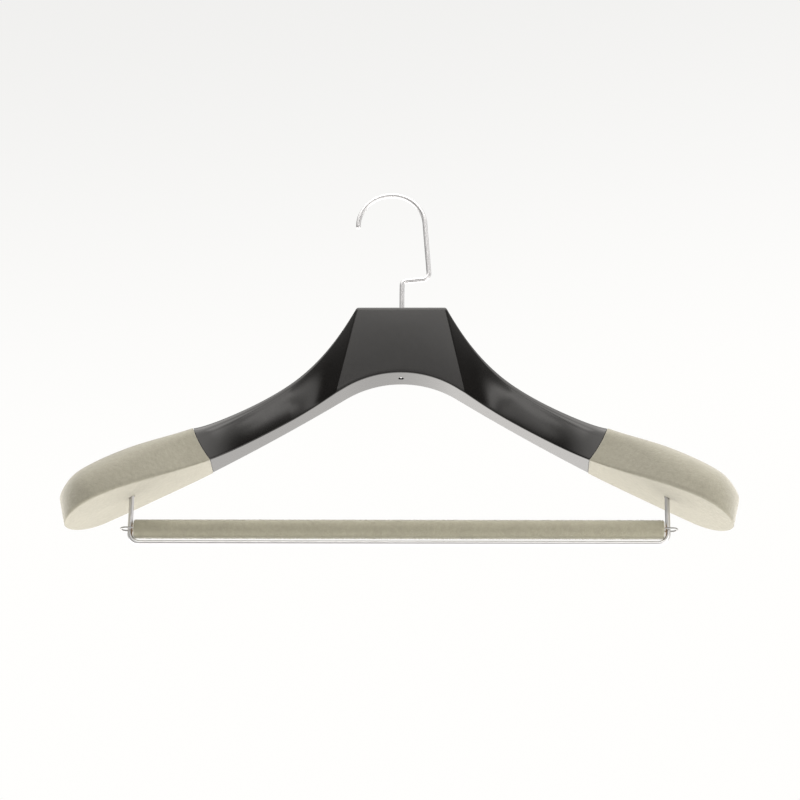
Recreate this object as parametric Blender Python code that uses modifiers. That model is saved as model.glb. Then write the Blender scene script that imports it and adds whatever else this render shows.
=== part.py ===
"""A suit hanger with velvet shoulder ends, a swivel hook and a floating trouser bar.

Lengths are in metres. The pieces are laid out from the neck: the middle of its top is
z = 0, and the hook's shank is the line x = y = 0. Empties then carry them, so that the
world's origin is the inside top of the hook, where it rests on a rail. The front of the
hanger faces -Y, and its two arms reach along +X and -X.
"""

import math

import bmesh
import bpy
from mathutils import Vector

# Clearances
FIT_GAP = 0.0003          # between two pieces that are fixed to each other
RUNNING_GAP = 0.00025     # round the shank, where it turns
POCKET_GAP = 0.0004       # above and below the collar in its pocket
GLUE_LINE = 0.0001        # between the two arms

# Neck
NECK_HEIGHT = 0.0477      # at the middle
NECK_THICKNESS = 0.0222
NECK_TOP_WIDTH = 0.0600
NECK_CORNER = 0.002       # rounding of the top's two corners, seen from the front
NECK_BEVEL = 0.0016       # rounding along the top's front and rear edges
FACE_FOOT_WIDTH = 0.0858  # the flat front face, across its foot
FLANK_ANGLE = 61.5        # degrees below level, where the neck's sides start down
FLANK_REACH = 0.056       # how far that first slope is felt
CUFF_REACH = 0.054        # and how far the slope at the velvet is felt, back up the arm

# Arms, by places along the underside
ARCH_RADIUS = 0.068       # of the arch under the neck
ARM_SLOPE = 33.3          # degrees below level, where the arch ends
ARM_EASE_RADIUS = 2.0     # the underside levels out a little on this radius
REAR_SWEEP_RADIUS = 1.55  # the back of the arms curves forward on this radius
WAIST_REACH = 0.0301      # from the foot of the crease out to the thinnest place
WAIST_THICKNESS = 0.0175
WAIST_EDGE = 0.0048       # rounding of the top edges there
CUFF_X = 0.1240           # from the middle out to where the velvet starts
CUFF_THICKNESS = 0.0248
CUFF_HEIGHT = 0.0279
CUFF_LEAN = 27.0          # degrees that the velvet's edge leans outwards
CUFF_TOP_SLOPE = 24.0     # degrees below level, along the top
CUFF_EDGE = 0.0100
CREST_REACH = 0.0404      # from the velvet's edge out to where the arm is tallest
CREST_HEIGHT = 0.0303
SHOULDER_REACH = 0.0680   # from the velvet's edge out to where it is thickest
SHOULDER_THICKNESS = 0.0540
SHOULDER_DOME = 0.0240    # how far down the rounded top reaches
DOME_FOOT = 0.0016        # the least of the arm's side that stays below it
NOSE_REACH = 0.0231       # from the thickest place out to the end
TIP_HEIGHT = 0.0168
NOSE_FULLNESS = 2.4       # 2 rounds the top line off as an ellipse, more is squarer
TIP_LEAN = 13.0           # degrees that the end of the arm leans outwards
ARM_FOOT_EDGE = 0.0008    # rounding of the bottom edges, lacquered
VELVET_FOOT_EDGE = 0.0024 # and under the velvet
FACE_CROWN = 0.0005       # how far the arms' faces bulge

# Velvet on the arms
VELVET_THICKNESS = 0.0008
VELVET_PROUD = 0.0003     # how far the velvet stands out from the lacquer

# Hook
WIRE_DIAMETER = 0.0032
HOOK_RADIUS = 0.0228      # of the arc, along the middle of the wire
HOOK_OFFSET = 0.0076      # from the shank to the middle of the arc
HOOK_RISE = 0.0658        # from the neck's top to the middle of the arc
HOOK_TIP_ANGLE = 186.0    # degrees round the arc, from level on the shank's side
HOOK_SIDE_LEAN = 4.6      # degrees that the straight side leans outwards
HOOK_CRANK_HEIGHT = 0.0238
HOOK_CRANK_SLOPE = 5.5    # degrees
HOOK_OUTER_BEND = 0.0046
HOOK_INNER_BEND = 0.0033
SHANK_END_DEPTH = 0.0005  # the shank stops this far inside the neck's underside

# Fittings inside the neck
BUSH_WALL = 0.0013
BUSH_LENGTH = 0.018
COLLAR_DIAMETER = 0.008
COLLAR_HEIGHT = 0.003
COLLAR_RISE = 0.0168      # from the neck's underside up to the collar's middle
DOWEL_DIAMETER = 0.004
DOWEL_LENGTH = 0.024
DOWEL_DEPTH = 0.014
DOWEL_CHAMFER = 0.0005

# Wire frame under the arms
LEG_INSET = 0.0414        # from the end of the arm back to the middle of the leg
LEG_INSERT = 0.016        # how far each leg goes up into the wood
LEG_REACH = 0.0313        # from the arm's underside down to the middle of the lower run
FRAME_BEND = 0.0064

# Trouser bar
BAR_DIAMETER = 0.012
BAR_END_GAP = 0.0008      # from the bar's end to the leg beside it
BAR_END_ROUND = 0.0014
BAR_MOUTH_RIM = 0.0002    # the least that is left flat round the sleeve's mouth
SLEEVE_THICKNESS = 0.0008
EYE_WIRE = 0.0012
EYE_WIDTH = 0.0054        # inside the loop
EYE_REACH = 0.0060        # from the leg's middle to the loop's far end
EYE_INSERT = 0.007        # how far the loop's ends go into the bar

# How finely the round shapes are divided
ROUND_STEPS = 32
BEND_STEPS = 7
HOOK_STEPS = 30
FACE_STATIONS = 9
FLANK_STATIONS = 26
FLANK_BUNCHING = 1.5      # how much closer the sections lie near the crease
FLANK_FAN = 0.6           # how far their tops run ahead of their feet
TOP_LINE_STEPS = 104
VELVET_STATIONS = 9
NOSE_STATIONS = 8
FOOT_STEPS = 2
SIDE_STEPS = 4
EDGE_STEPS = 6
MERGE_DISTANCE = 0.000002
CUT_MARGIN = 0.002        # how far a cutter reaches past the face that it opens

# Worked out from the sizes above
WIRE_RADIUS = WIRE_DIAMETER / 2
FACE_FOOT_X = FACE_FOOT_WIDTH / 2
WAIST_X = FACE_FOOT_X + WAIST_REACH
CREST_X = CUFF_X + CREST_REACH
SHOULDER_X = CUFF_X + SHOULDER_REACH
TIP_X = SHOULDER_X + NOSE_REACH
LEG_X = TIP_X - LEG_INSET
COLLAR_MIDDLE = -NECK_HEIGHT + COLLAR_RISE
SEAT_HEIGHT = HOOK_RISE + HOOK_RADIUS - WIRE_RADIUS
REBATE = VELVET_THICKNESS + FIT_GAP - VELVET_PROUD
BORE_RADIUS = WIRE_RADIUS + RUNNING_GAP
BUSH_RADIUS = BORE_RADIUS + BUSH_WALL
BAR_RADIUS = BAR_DIAMETER / 2
BAR_HALF_LENGTH = LEG_X - WIRE_RADIUS - BAR_END_GAP
EYE_HALF_WIDTH = (EYE_WIDTH + EYE_WIRE) / 2
BAR_MOUTH_RADIUS = EYE_HALF_WIDTH + EYE_WIRE / 2 + FIT_GAP
BAR_ROUNDING = min(BAR_END_ROUND, BAR_RADIUS - BAR_MOUTH_RADIUS - BAR_MOUTH_RIM)
LYING_ALONG_X = (0.0, math.pi / 2, 0.0)


# Helpers for objects

def clear_scene():
    for obj in list(bpy.data.objects):
        bpy.data.objects.remove(obj, do_unlink=True)


def new_collection(name):
    collection = bpy.data.collections.new(name)
    bpy.context.scene.collection.children.link(collection)
    return collection


def new_material(name, color, roughness, metallic=0.0):
    material = bpy.data.materials.new(name)
    material.use_nodes = True
    shader = material.node_tree.nodes["Principled BSDF"]
    shader.inputs["Base Color"].default_value = (*color, 1.0)
    shader.inputs["Roughness"].default_value = roughness
    shader.inputs["Metallic"].default_value = metallic
    material.diffuse_color = (*color, 1.0)
    return material


def new_empty(name, collection, location, parent=None):
    empty = bpy.data.objects.new(name, None)
    empty.empty_display_size = 0.01
    empty.location = location
    empty.parent = parent
    collection.objects.link(empty)
    return empty


def new_object(name, data, collection, parent, material=None):
    obj = bpy.data.objects.new(name, data)
    obj.parent = parent
    collection.objects.link(obj)
    if material:
        data.materials.append(material)
    return obj


def shade_round(mesh, degrees=30.0):
    mesh.shade_smooth()
    mesh.set_sharp_from_angle(angle=math.radians(degrees))


def mesh_from(bm, name):
    mesh = bpy.data.meshes.new(name)
    bm.to_mesh(mesh)
    bm.free()
    shade_round(mesh)
    return mesh


def cylinder(name, radius, length, collection, parent, material=None):
    """A cylinder along its own Z, centred on its origin."""
    bm = bmesh.new()
    bmesh.ops.create_cone(
        bm, cap_ends=True, segments=ROUND_STEPS, radius1=radius, radius2=radius, depth=length
    )
    return new_object(name, mesh_from(bm, name), collection, parent, material)


def cutter(name, radius, length, middle, collection, parent):
    """A hidden cylinder, upright until it is turned."""
    obj = cylinder(name, radius, length, collection, parent)
    obj.location = middle
    obj.hide_render = True
    obj.display_type = "WIRE"
    return obj


def upright_cutter(name, radius, low, high, across, collection, parent):
    """A hidden cylinder between two heights, at the place across = (x, y)."""
    middle = (*across, (low + high) / 2)
    return cutter(name, radius, high - low, middle, collection, parent)


def lying_cutter(name, radius, length, middle, collection, parent):
    obj = cutter(name, radius, length, middle, collection, parent)
    obj.rotation_euler = LYING_ALONG_X
    return obj


def cut(obj, tool):
    modifier = obj.modifiers.new("cut_" + tool.name, "BOOLEAN")
    modifier.operation = "DIFFERENCE"
    modifier.solver = "EXACT"
    modifier.object = tool


def turned(name, profile, collection, parent, material):
    """A shape turned round its own Z from a closed profile of (radius, height) points."""
    mesh = bpy.data.meshes.new(name)
    points = [(radius, 0.0, height) for radius, height in profile]
    edges = [(i, (i + 1) % len(points)) for i in range(len(points))]
    mesh.from_pydata(points, edges, [])
    obj = new_object(name, mesh, collection, parent, material)
    screw = obj.modifiers.new("turn", "SCREW")
    screw.axis = "Z"
    screw.steps = screw.render_steps = ROUND_STEPS
    screw.use_merge_vertices = True
    screw.merge_threshold = 0.0001
    screw.use_smooth_shade = False
    return obj


def tube_ring(name, inner, outer, low, high, collection, parent, material):
    profile = [(outer, high), (outer, low), (inner, low), (inner, high)]
    return turned(name, profile, collection, parent, material)


def wire(name, path, diameter, collection, parent, material):
    curve = bpy.data.curves.new(name, "CURVE")
    curve.dimensions = "3D"
    curve.bevel_depth = diameter / 2
    curve.bevel_resolution = 2
    curve.use_fill_caps = True
    spline = curve.splines.new("POLY")
    spline.points.add(len(path) - 1)
    for point, place in zip(spline.points, path):
        point.co = (*place, 1.0)
    return new_object(name, curve, collection, parent, material)


# Helpers for curves

def smooth(fraction):
    f = min(max(fraction, 0.0), 1.0)
    return f * f * (3.0 - 2.0 * f)


def eased(x, *keys):
    """The value at x, easing from each (x, value) key to the next."""
    if x <= keys[0][0]:
        return keys[0][1]
    for (x0, v0), (x1, v1) in zip(keys, keys[1:]):
        if x <= x1:
            return v0 + (v1 - v0) * smooth((x - x0) / (x1 - x0))
    return keys[-1][1]


def lean_way(degrees):
    """The upward direction that leans outwards by so many degrees, in the X-Z plane."""
    return Vector((math.sin(math.radians(degrees)), math.cos(math.radians(degrees))))


def fillet(before, corner, after, radius, steps=BEND_STEPS):
    """The points of an arc that rounds a corner between two straight runs."""
    into = (corner - before).normalized()
    out = (after - corner).normalized()
    turn = into.angle(out)
    side = (out - into * into.dot(out)).normalized()
    start = corner - into * radius * math.tan(turn / 2)
    centre = start + side * radius
    points = []
    for i in range(steps + 1):
        a = turn * i / steps
        points.append(centre - side * radius * math.cos(a) + into * radius * math.sin(a))
    return points


def along(points, fraction):
    """The place that far along a chain of points, by length."""
    lengths = [(b - a).length for a, b in zip(points, points[1:])]
    left = fraction * sum(lengths)
    for a, b, length in zip(points, points[1:], lengths):
        if left <= length:
            return a.lerp(b, left / length)
        left -= length
    return points[-1].copy()


# The shape of an arm

def underside(x):
    """The height of the underside, and its slope as an angle below level."""
    slope = math.radians(ARM_SLOPE)
    arch_x = ARCH_RADIUS * math.sin(slope)
    if x <= arch_x:
        angle = math.asin(x / ARCH_RADIUS)
        return -NECK_HEIGHT - ARCH_RADIUS * (1 - math.cos(angle)), angle
    arch_z = -NECK_HEIGHT - ARCH_RADIUS * (1 - math.cos(slope))
    angle = math.asin(math.sin(slope) - (x - arch_x) / ARM_EASE_RADIUS)
    return arch_z - ARM_EASE_RADIUS * (math.cos(angle) - math.cos(slope)), angle


def foot(x):
    return Vector((x, underside(x)[0]))


def rear(x):
    return NECK_THICKNESS / 2 - x * x / (2 * REAR_SWEEP_RADIUS)


def thickness(x):
    """From the front to the rear: down to the waist, then out to the shoulder."""
    if x <= FACE_FOOT_X:
        return NECK_THICKNESS / 2 + rear(x)
    if x <= WAIST_X:
        start = NECK_THICKNESS / 2 + rear(FACE_FOOT_X)
        turn = math.pi / 2 * (x - FACE_FOOT_X) / (WAIST_X - FACE_FOOT_X)
        return start + (WAIST_THICKNESS - start) * math.sin(turn)
    growth = CUFF_THICKNESS - WAIST_THICKNESS
    if x <= CUFF_X:
        return WAIST_THICKNESS + growth * ((x - WAIST_X) / (CUFF_X - WAIST_X)) ** 2
    if x >= SHOULDER_X:
        return SHOULDER_THICKNESS
    f = (x - CUFF_X) / (SHOULDER_X - CUFF_X)
    slope = 2 * growth / (CUFF_X - WAIST_X) * (SHOULDER_X - CUFF_X)
    rise = SHOULDER_THICKNESS - CUFF_THICKNESS
    return CUFF_THICKNESS + rise * smooth(f) + slope * f * (1 - f) ** 2


def height(x):
    """From the underside to the top, from the velvet's edge out to the tip."""
    if x <= CREST_X:
        return eased(x, (CUFF_X, CUFF_HEIGHT), (CREST_X, CREST_HEIGHT))
    f = min((x - CREST_X) / (TIP_X - CREST_X), 1.0)
    left = (1 - f ** NOSE_FULLNESS) ** (1 / NOSE_FULLNESS)
    return TIP_HEIGHT + (CREST_HEIGHT - TIP_HEIGHT) * left


def flank():
    """The top line, seen from the front, from the neck's corner to the velvet's edge."""
    steep = math.radians(FLANK_ANGLE)
    corner_x = NECK_TOP_WIDTH / 2 - NECK_CORNER * math.tan(steep / 2)
    centre = Vector((corner_x, -NECK_CORNER))
    turns = [steep * i / BEND_STEPS for i in range(BEND_STEPS + 1)]
    points = [centre + NECK_CORNER * Vector((math.sin(a), math.cos(a))) for a in turns]
    start = points[-1]
    end = foot(CUFF_X) + CUFF_HEIGHT * lean_way(CUFF_LEAN)
    level = math.radians(CUFF_TOP_SLOPE)
    first = start + FLANK_REACH * Vector((math.cos(steep), -math.sin(steep)))
    last = end - CUFF_REACH * Vector((math.cos(level), -math.sin(level)))
    for i in range(1, TOP_LINE_STEPS + 1):
        t = i / TOP_LINE_STEPS
        points.append(
            start * (1 - t) ** 3 + first * 3 * t * (1 - t) ** 2
            + last * 3 * t * t * (1 - t) + end * t ** 3
        )
    return points


class Station:
    """One section across an arm: its foot and top in the X-Z plane, and its width in Y."""

    def __init__(self, x, top, shrink=1.0):
        self.foot = foot(x)
        self.top = top
        middle = rear(x) - thickness(x) / 2
        half = thickness(x) / 2 * shrink
        self.front, self.rear = middle - half, middle + half
        self.shrink = shrink
        self.edge_y = eased(
            x, (FACE_FOOT_X, NECK_BEVEL), (WAIST_X, WAIST_EDGE), (CUFF_X, CUFF_EDGE),
            (SHOULDER_X, SHOULDER_THICKNESS / 2),
        )
        self.edge_z = eased(
            x, (FACE_FOOT_X, NECK_BEVEL), (WAIST_X, WAIST_EDGE), (CUFF_X, CUFF_EDGE),
            (SHOULDER_X, SHOULDER_DOME),
        )
        self.foot_edge = eased(x, (CUFF_X, ARM_FOOT_EDGE), (CREST_X, VELVET_FOOT_EDGE))
        self.crown = eased(x, (FACE_FOOT_X, 0.0), (WAIST_X, FACE_CROWN), (SHOULDER_X, 0.0))

    def ring(self, side, grow=0.0):
        """The section's outline as points in space, standing out by grow all round."""
        up = (self.top - self.foot).normalized()
        tall = (self.top - self.foot).length
        low, high = -grow, tall + grow
        spread = grow * self.shrink
        front, back = self.front - spread, self.rear + spread
        half = (back - front) / 2
        foot_y = min(self.foot_edge, half)
        edge_y = min(self.edge_y, half)
        edge_z = min(self.edge_z, high - low - self.foot_edge - DOME_FOOT)
        outline = []
        for i in range(FOOT_STEPS + 1):
            a = math.pi / 2 * i / FOOT_STEPS
            rise = self.foot_edge * (1 - math.cos(a))
            outline.append((front + foot_y * (1 - math.sin(a)), low + rise))
        side_low, side_high = low + self.foot_edge, high - edge_z
        for i in range(1, SIDE_STEPS):
            f = i / SIDE_STEPS
            bulge = 4 * self.crown * f * (1 - f)
            outline.append((front - bulge, side_low + (side_high - side_low) * f))
        for i in range(EDGE_STEPS + 1):
            a = math.pi / 2 * i / EDGE_STEPS
            drop = edge_z * (1 - math.sin(a))
            outline.append((front + edge_y * (1 - math.cos(a)), high - drop))
        outline += [(front + back - y, v) for y, v in reversed(outline)]
        return [
            Vector((side * (self.foot.x + up.x * v), y, self.foot.y + up.y * v))
            for y, v in outline
        ]


def wood_stations():
    """The sections from the middle of the hanger to the velvet's edge."""
    top_line = flank()
    stations = []
    for i in range(FACE_STATIONS):
        f = i / FACE_STATIONS
        top = Vector((max(top_line[0].x * f, GLUE_LINE / 2), 0.0))
        stations.append(Station(max(FACE_FOOT_X * f, GLUE_LINE / 2), top))
    for i in range(FLANK_STATIONS + 1):
        f = (i / FLANK_STATIONS) ** FLANK_BUNCHING
        x = FACE_FOOT_X + (CUFF_X - FACE_FOOT_X) * f
        top = along(top_line, f + FLANK_FAN * f * (1 - f))
        stations.append(Station(x, top))
    return stations


def velvet_stations(start, grow):
    """The sections from a place beside the velvet's edge to the rounded end of the arm."""
    stations = []
    for i in range(VELVET_STATIONS):
        x = start + (SHOULDER_X - start) * i / VELVET_STATIONS
        stations.append(Station(x, foot(x) + height(x) * lean_way(CUFF_LEAN)))
    for i in range(NOSE_STATIONS + 1):
        a = math.pi / 2 * i / NOSE_STATIONS
        x = SHOULDER_X + (TIP_X - SHOULDER_X) * math.sin(a)
        lean = eased(x, (SHOULDER_X, CUFF_LEAN), (TIP_X, TIP_LEAN))
        station = Station(x, foot(x) + height(x) * lean_way(lean), shrink=math.cos(a))
        shift = Vector((grow * math.sin(a), 0.0))
        station.foot += shift
        station.top += shift
        stations.append(station)
    return stations


def loft(name, rings, capped):
    """A skin through rings of points, with a flat end on the first ring if capped."""
    bm = bmesh.new()
    rows = [[bm.verts.new(point) for point in ring] for ring in rings]
    for row, following in zip(rows, rows[1:]):
        for i in range(len(row)):
            j = (i + 1) % len(row)
            bm.faces.new((row[i], row[j], following[j], following[i]))
    if capped:
        bm.faces.new(rows[0])
    bmesh.ops.remove_doubles(bm, verts=bm.verts, dist=MERGE_DISTANCE)
    bmesh.ops.dissolve_degenerate(bm, edges=bm.edges, dist=MERGE_DISTANCE)
    bmesh.ops.recalc_face_normals(bm, faces=bm.faces)
    return mesh_from(bm, name)


# The pieces

def leg_middle():
    """Where the wire frame lies from front to rear: the middle of the arm at its legs."""
    return rear(LEG_X) - thickness(LEG_X) / 2


def frame_height():
    """Where the middle of the frame's lower run lies."""
    return underside(LEG_X)[0] - LEG_REACH


def bar_height():
    """The bar at rest: its rounded ends lie in the frame's bends."""
    bend_x = LEG_X - FRAME_BEND
    bend_z = frame_height() + FRAME_BEND
    round_x = BAR_HALF_LENGTH - BAR_ROUNDING
    reach = FRAME_BEND - WIRE_RADIUS - BAR_ROUNDING - FIT_GAP
    sunk = math.sqrt(reach ** 2 - max(round_x - bend_x, 0.0) ** 2)
    return bend_z - sunk - BAR_ROUNDING + BAR_RADIUS


def build_arms(parts, tools, parent, lacquer):
    inner = wood_stations()
    outer = velvet_stations(CUFF_X, -REBATE)
    shank = (0.0, 0.0)
    bottom = -NECK_HEIGHT - CUT_MARGIN
    pocket_half = COLLAR_HEIGHT / 2 + POCKET_GAP
    neck_tools = [
        upright_cutter("bore_cutter", BORE_RADIUS, bottom, CUT_MARGIN, shank, tools, parent),
        upright_cutter("bush_cutter", BUSH_RADIUS + FIT_GAP, -BUSH_LENGTH - 2 * FIT_GAP,
                       CUT_MARGIN, shank, tools, parent),
        cutter("pocket_cutter", COLLAR_DIAMETER / 2 + POCKET_GAP, 2 * pocket_half,
               (0.0, 0.0, COLLAR_MIDDLE), tools, parent),
    ]
    for place, middle in dowel_places():
        neck_tools.append(
            lying_cutter(place + "_dowel_cutter", DOWEL_DIAMETER / 2 + FIT_GAP,
                         DOWEL_LENGTH + 2 * FIT_GAP, middle, tools, parent)
        )
    for name, side in (("left", -1), ("right", 1)):
        rings = [station.ring(side) for station in inner]
        rings += [station.ring(side, -REBATE) for station in outer]
        arm = new_object(name + "_arm", loft(name + "_arm", rings, True), parts, parent, lacquer)
        for tool in neck_tools:
            cut(arm, tool)
        cut(arm, leg_cutter(name + "_leg_cutter", side, tools, parent))


def leg_cutter(name, side, tools, parent):
    top = underside(LEG_X)[0] + LEG_INSERT + FIT_GAP
    return upright_cutter(name, WIRE_RADIUS + FIT_GAP, frame_height(), top,
                          (side * LEG_X, leg_middle()), tools, parent)


def build_velvet(parts, tools, parent, velvet):
    inner = VELVET_PROUD - VELVET_THICKNESS
    stations = velvet_stations(CUFF_X + FIT_GAP, inner)
    for name, side in (("left", -1), ("right", 1)):
        rings = [station.ring(side, inner) for station in stations]
        title = name + "_velvet_cover"
        cover = new_object(title, loft(title, rings, False), parts, parent, velvet)
        wall = cover.modifiers.new("wall", "SOLIDIFY")
        wall.thickness = VELVET_THICKNESS
        wall.offset = 1.0
        wall.use_even_offset = True
        cut(cover, leg_cutter(title + "_cutter", side, tools, parent))


def dowel_places():
    """The middles of the two dowels, halfway between the bush and the neck's faces."""
    offset = (BUSH_RADIUS + NECK_THICKNESS / 2) / 2
    return (("front", (0.0, -offset, -DOWEL_DEPTH)), ("rear", (0.0, offset, -DOWEL_DEPTH)))


def build_dowels(parts, parent, wood):
    for place, middle in dowel_places():
        dowel = cylinder(place + "_dowel", DOWEL_DIAMETER / 2, DOWEL_LENGTH, parts, parent, wood)
        dowel.location = middle
        dowel.rotation_euler = LYING_ALONG_X
        chamfer = dowel.modifiers.new("chamfer", "BEVEL")
        chamfer.width = DOWEL_CHAMFER
        chamfer.segments = 1


def build_hook(parts, parent, steel):
    start = math.radians(HOOK_TIP_ANGLE)
    end = math.radians(HOOK_SIDE_LEAN)
    middle = Vector((-HOOK_OFFSET, 0.0, HOOK_RISE))
    path = []
    for i in range(HOOK_STEPS + 1):
        a = start + (end - start) * i / HOOK_STEPS
        path.append(middle + HOOK_RADIUS * Vector((math.cos(a), 0.0, math.sin(a))))
    down = Vector((math.sin(end), 0.0, -math.cos(end)))
    inner_corner = Vector((0.0, 0.0, HOOK_CRANK_HEIGHT))
    slope = math.tan(math.radians(HOOK_CRANK_SLOPE))
    run = (path[-1].z - HOOK_CRANK_HEIGHT - slope * path[-1].x) / (slope * down.x - down.z)
    outer_corner = path[-1] + down * run
    shank_end = Vector((0.0, 0.0, -NECK_HEIGHT + SHANK_END_DEPTH))
    path += fillet(path[-1], outer_corner, inner_corner, HOOK_OUTER_BEND)
    path += fillet(outer_corner, inner_corner, shank_end, HOOK_INNER_BEND)
    path.append(shank_end)
    wire("hook", path, WIRE_DIAMETER, parts, parent, steel)


def build_neck_fittings(parts, parent, steel, brass):
    tube_ring("hook_bush", BORE_RADIUS, BUSH_RADIUS, -BUSH_LENGTH - FIT_GAP, -FIT_GAP,
              parts, parent, brass)
    tube_ring("hook_collar", WIRE_RADIUS + FIT_GAP, COLLAR_DIAMETER / 2,
              COLLAR_MIDDLE - COLLAR_HEIGHT / 2, COLLAR_MIDDLE + COLLAR_HEIGHT / 2,
              parts, parent, steel)


def build_frame(parts, parent, steel):
    y = leg_middle()
    top = underside(LEG_X)[0] + LEG_INSERT
    tops = [Vector((side * LEG_X, y, top)) for side in (-1, 1)]
    corners = [Vector((side * LEG_X, y, frame_height())) for side in (-1, 1)]
    path = [tops[0]]
    path += fillet(tops[0], corners[0], corners[1], FRAME_BEND)
    path += fillet(corners[0], corners[1], tops[1], FRAME_BEND)
    path.append(tops[1])
    wire("bar_frame_wire", path, WIRE_DIAMETER, parts, parent, steel)


def build_bar(parts, tools, parent, wood, velvet, steel):
    eye_half, mouth = EYE_HALF_WIDTH, BAR_MOUTH_RADIUS
    inside = BAR_RADIUS - SLEEVE_THICKNESS
    end, wall = BAR_HALF_LENGTH, BAR_HALF_LENGTH - SLEEVE_THICKNESS
    rim = []
    for i in range(BEND_STEPS + 1):
        a = math.pi / 2 * i / BEND_STEPS
        out = BAR_ROUNDING * (1 - math.sin(a))
        rim.append((BAR_RADIUS - BAR_ROUNDING * (1 - math.cos(a)), end - out))
    upper = rim[::-1]
    outside = upper + [(radius, -along_bar) for radius, along_bar in rim]
    bore = [(mouth, -end), (mouth, -wall), (inside, -wall),
            (inside, wall), (mouth, wall), (mouth, end)]
    sleeve = turned("bar_velvet_sleeve", outside + bore, parts, parent, velvet)
    core_half = wall - FIT_GAP
    core = cylinder("bar_core", inside - FIT_GAP, 2 * core_half, parts, parent, wood)
    for obj in (sleeve, core):
        obj.rotation_euler = LYING_ALONG_X
    for name, side in (("left", -1), ("right", 1)):
        bend_x = LEG_X + EYE_REACH - eye_half
        path = [Vector((side * (end - EYE_INSERT), -eye_half, 0.0))]
        for i in range(2 * BEND_STEPS + 1):
            a = math.pi * i / (2 * BEND_STEPS)
            x = bend_x + eye_half * math.sin(a)
            path.append(Vector((side * x, -eye_half * math.cos(a), 0.0)))
        path.append(Vector((side * (end - EYE_INSERT), eye_half, 0.0)))
        wire(name + "_bar_eye", path, EYE_WIRE, parts, parent, steel)
        for place, y in (("front", -eye_half), ("rear", eye_half)):
            cut(core, lying_cutter(f"{name}_{place}_eye_cutter", EYE_WIRE / 2 + FIT_GAP,
                                   2 * (EYE_INSERT + FIT_GAP), (side * end, y, 0.0), tools, parent))


def main():
    clear_scene()
    parts = new_collection("velvet_hanger")
    tools = new_collection("cutters")
    lacquer = new_material("black_lacquer", (0.012, 0.011, 0.010), 0.14)
    velvet = new_material("beige_velvet", (0.42, 0.38, 0.29), 0.95)
    steel = new_material("polished_steel", (0.72, 0.72, 0.72), 0.18, 1.0)
    brass = new_material("brass", (0.75, 0.58, 0.30), 0.30, 1.0)
    wood = new_material("bare_wood", (0.55, 0.38, 0.22), 0.65)
    swivel = new_empty("hook_swivel_axis", parts, (HOOK_OFFSET, 0, -SEAT_HEIGHT))
    slide = new_empty("bar_slide_axis", parts, (0, leg_middle(), bar_height()), swivel)
    build_hook(parts, swivel, steel)
    build_neck_fittings(parts, swivel, steel, brass)
    build_arms(parts, tools, swivel, lacquer)
    build_dowels(parts, swivel, wood)
    build_velvet(parts, tools, swivel, velvet)
    build_frame(parts, swivel, steel)
    build_bar(parts, tools, slide, wood, velvet, steel)


main()
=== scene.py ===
"""A lacquered suit hanger with velvet ends, a swivel hook and a floating trouser bar.

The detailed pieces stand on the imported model, in metres. The world's origin is the inside
top of the hook, where it rests on a rail. The front faces -Y and the arms reach along X.
The shapes are worked out from the neck, whose top middle is their zero, and then moved.
"""

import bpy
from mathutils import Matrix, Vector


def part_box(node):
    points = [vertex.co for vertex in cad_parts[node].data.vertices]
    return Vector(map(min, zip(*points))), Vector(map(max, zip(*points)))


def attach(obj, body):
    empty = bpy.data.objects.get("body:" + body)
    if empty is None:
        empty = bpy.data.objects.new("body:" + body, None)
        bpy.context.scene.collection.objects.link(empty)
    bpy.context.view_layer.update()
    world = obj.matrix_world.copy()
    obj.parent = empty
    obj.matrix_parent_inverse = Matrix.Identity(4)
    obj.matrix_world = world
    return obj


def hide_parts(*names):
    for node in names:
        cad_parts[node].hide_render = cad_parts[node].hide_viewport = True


bl_info = {
    "name": "Velvet Hanger",
    "version": (1, 0, 0),
    "blender": (4, 5, 0),
    "location": "3D View > Sidebar > Hanger",
    "description": "Makes the detailed pieces of a velvet-ended suit hanger and its studio",
    "category": "Object",
}

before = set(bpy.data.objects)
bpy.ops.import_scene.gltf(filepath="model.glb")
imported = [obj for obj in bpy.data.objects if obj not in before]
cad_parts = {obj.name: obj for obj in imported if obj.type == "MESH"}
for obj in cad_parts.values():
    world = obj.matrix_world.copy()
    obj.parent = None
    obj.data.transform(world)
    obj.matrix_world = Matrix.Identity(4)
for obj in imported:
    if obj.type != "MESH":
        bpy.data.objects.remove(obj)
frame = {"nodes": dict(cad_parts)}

import math

import bmesh
import bpy
from bpy.props import (
    FloatProperty, FloatVectorProperty, IntProperty, PointerProperty,
)
from mathutils import Matrix, Quaternion, Vector

# Clearances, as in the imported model
FIT_GAP = 0.0003
RUNNING_GAP = 0.00025
POCKET_GAP = 0.0004
CUT_MARGIN = 0.002

# How finely the shapes are divided
FACE_SECTIONS = 26
FLANK_SECTIONS = 120
HIDDEN_SECTIONS = 12
VELVET_SECTIONS = 54
NOSE_SECTIONS = 26
FOOT_STEPS = 6
SIDE_STEPS = 16
EDGE_STEPS = 18
RIM_STEPS = 4
TOP_LINE_STEPS = 400
BEND_STEPS = 24
ARC_STEPS = 150
TIP_STEPS = 14
BAR_STEPS = 30
BAR_END_STEPS = 8
ROUND_STEPS = 64
WIRE_SIDES = 28
EYE_SIDES = 18
MERGE_DISTANCE = 0.0000005
CREASE_REACH = 0.000004
FLAT_HOLD = 0.0007            # of flat beside a rounding, which keeps the shading true
MOUTH_RIM = 0.0002            # the least flat left round the hole in the bar's end
LEAST_THINNING = 0.02         # of a wire's rounded end, so that the wire stays closed
SHARP_ANGLE = 35.0            # degrees between faces, over which their edge is sharp
WIRE_SHARP_ANGLE = 60.0
BAR_SEED_STEP = 4             # from the velvet's seed to that of the bar's pile

QUARTER = math.pi / 2
SIDES = (("left", -1), ("right", 1))
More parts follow.
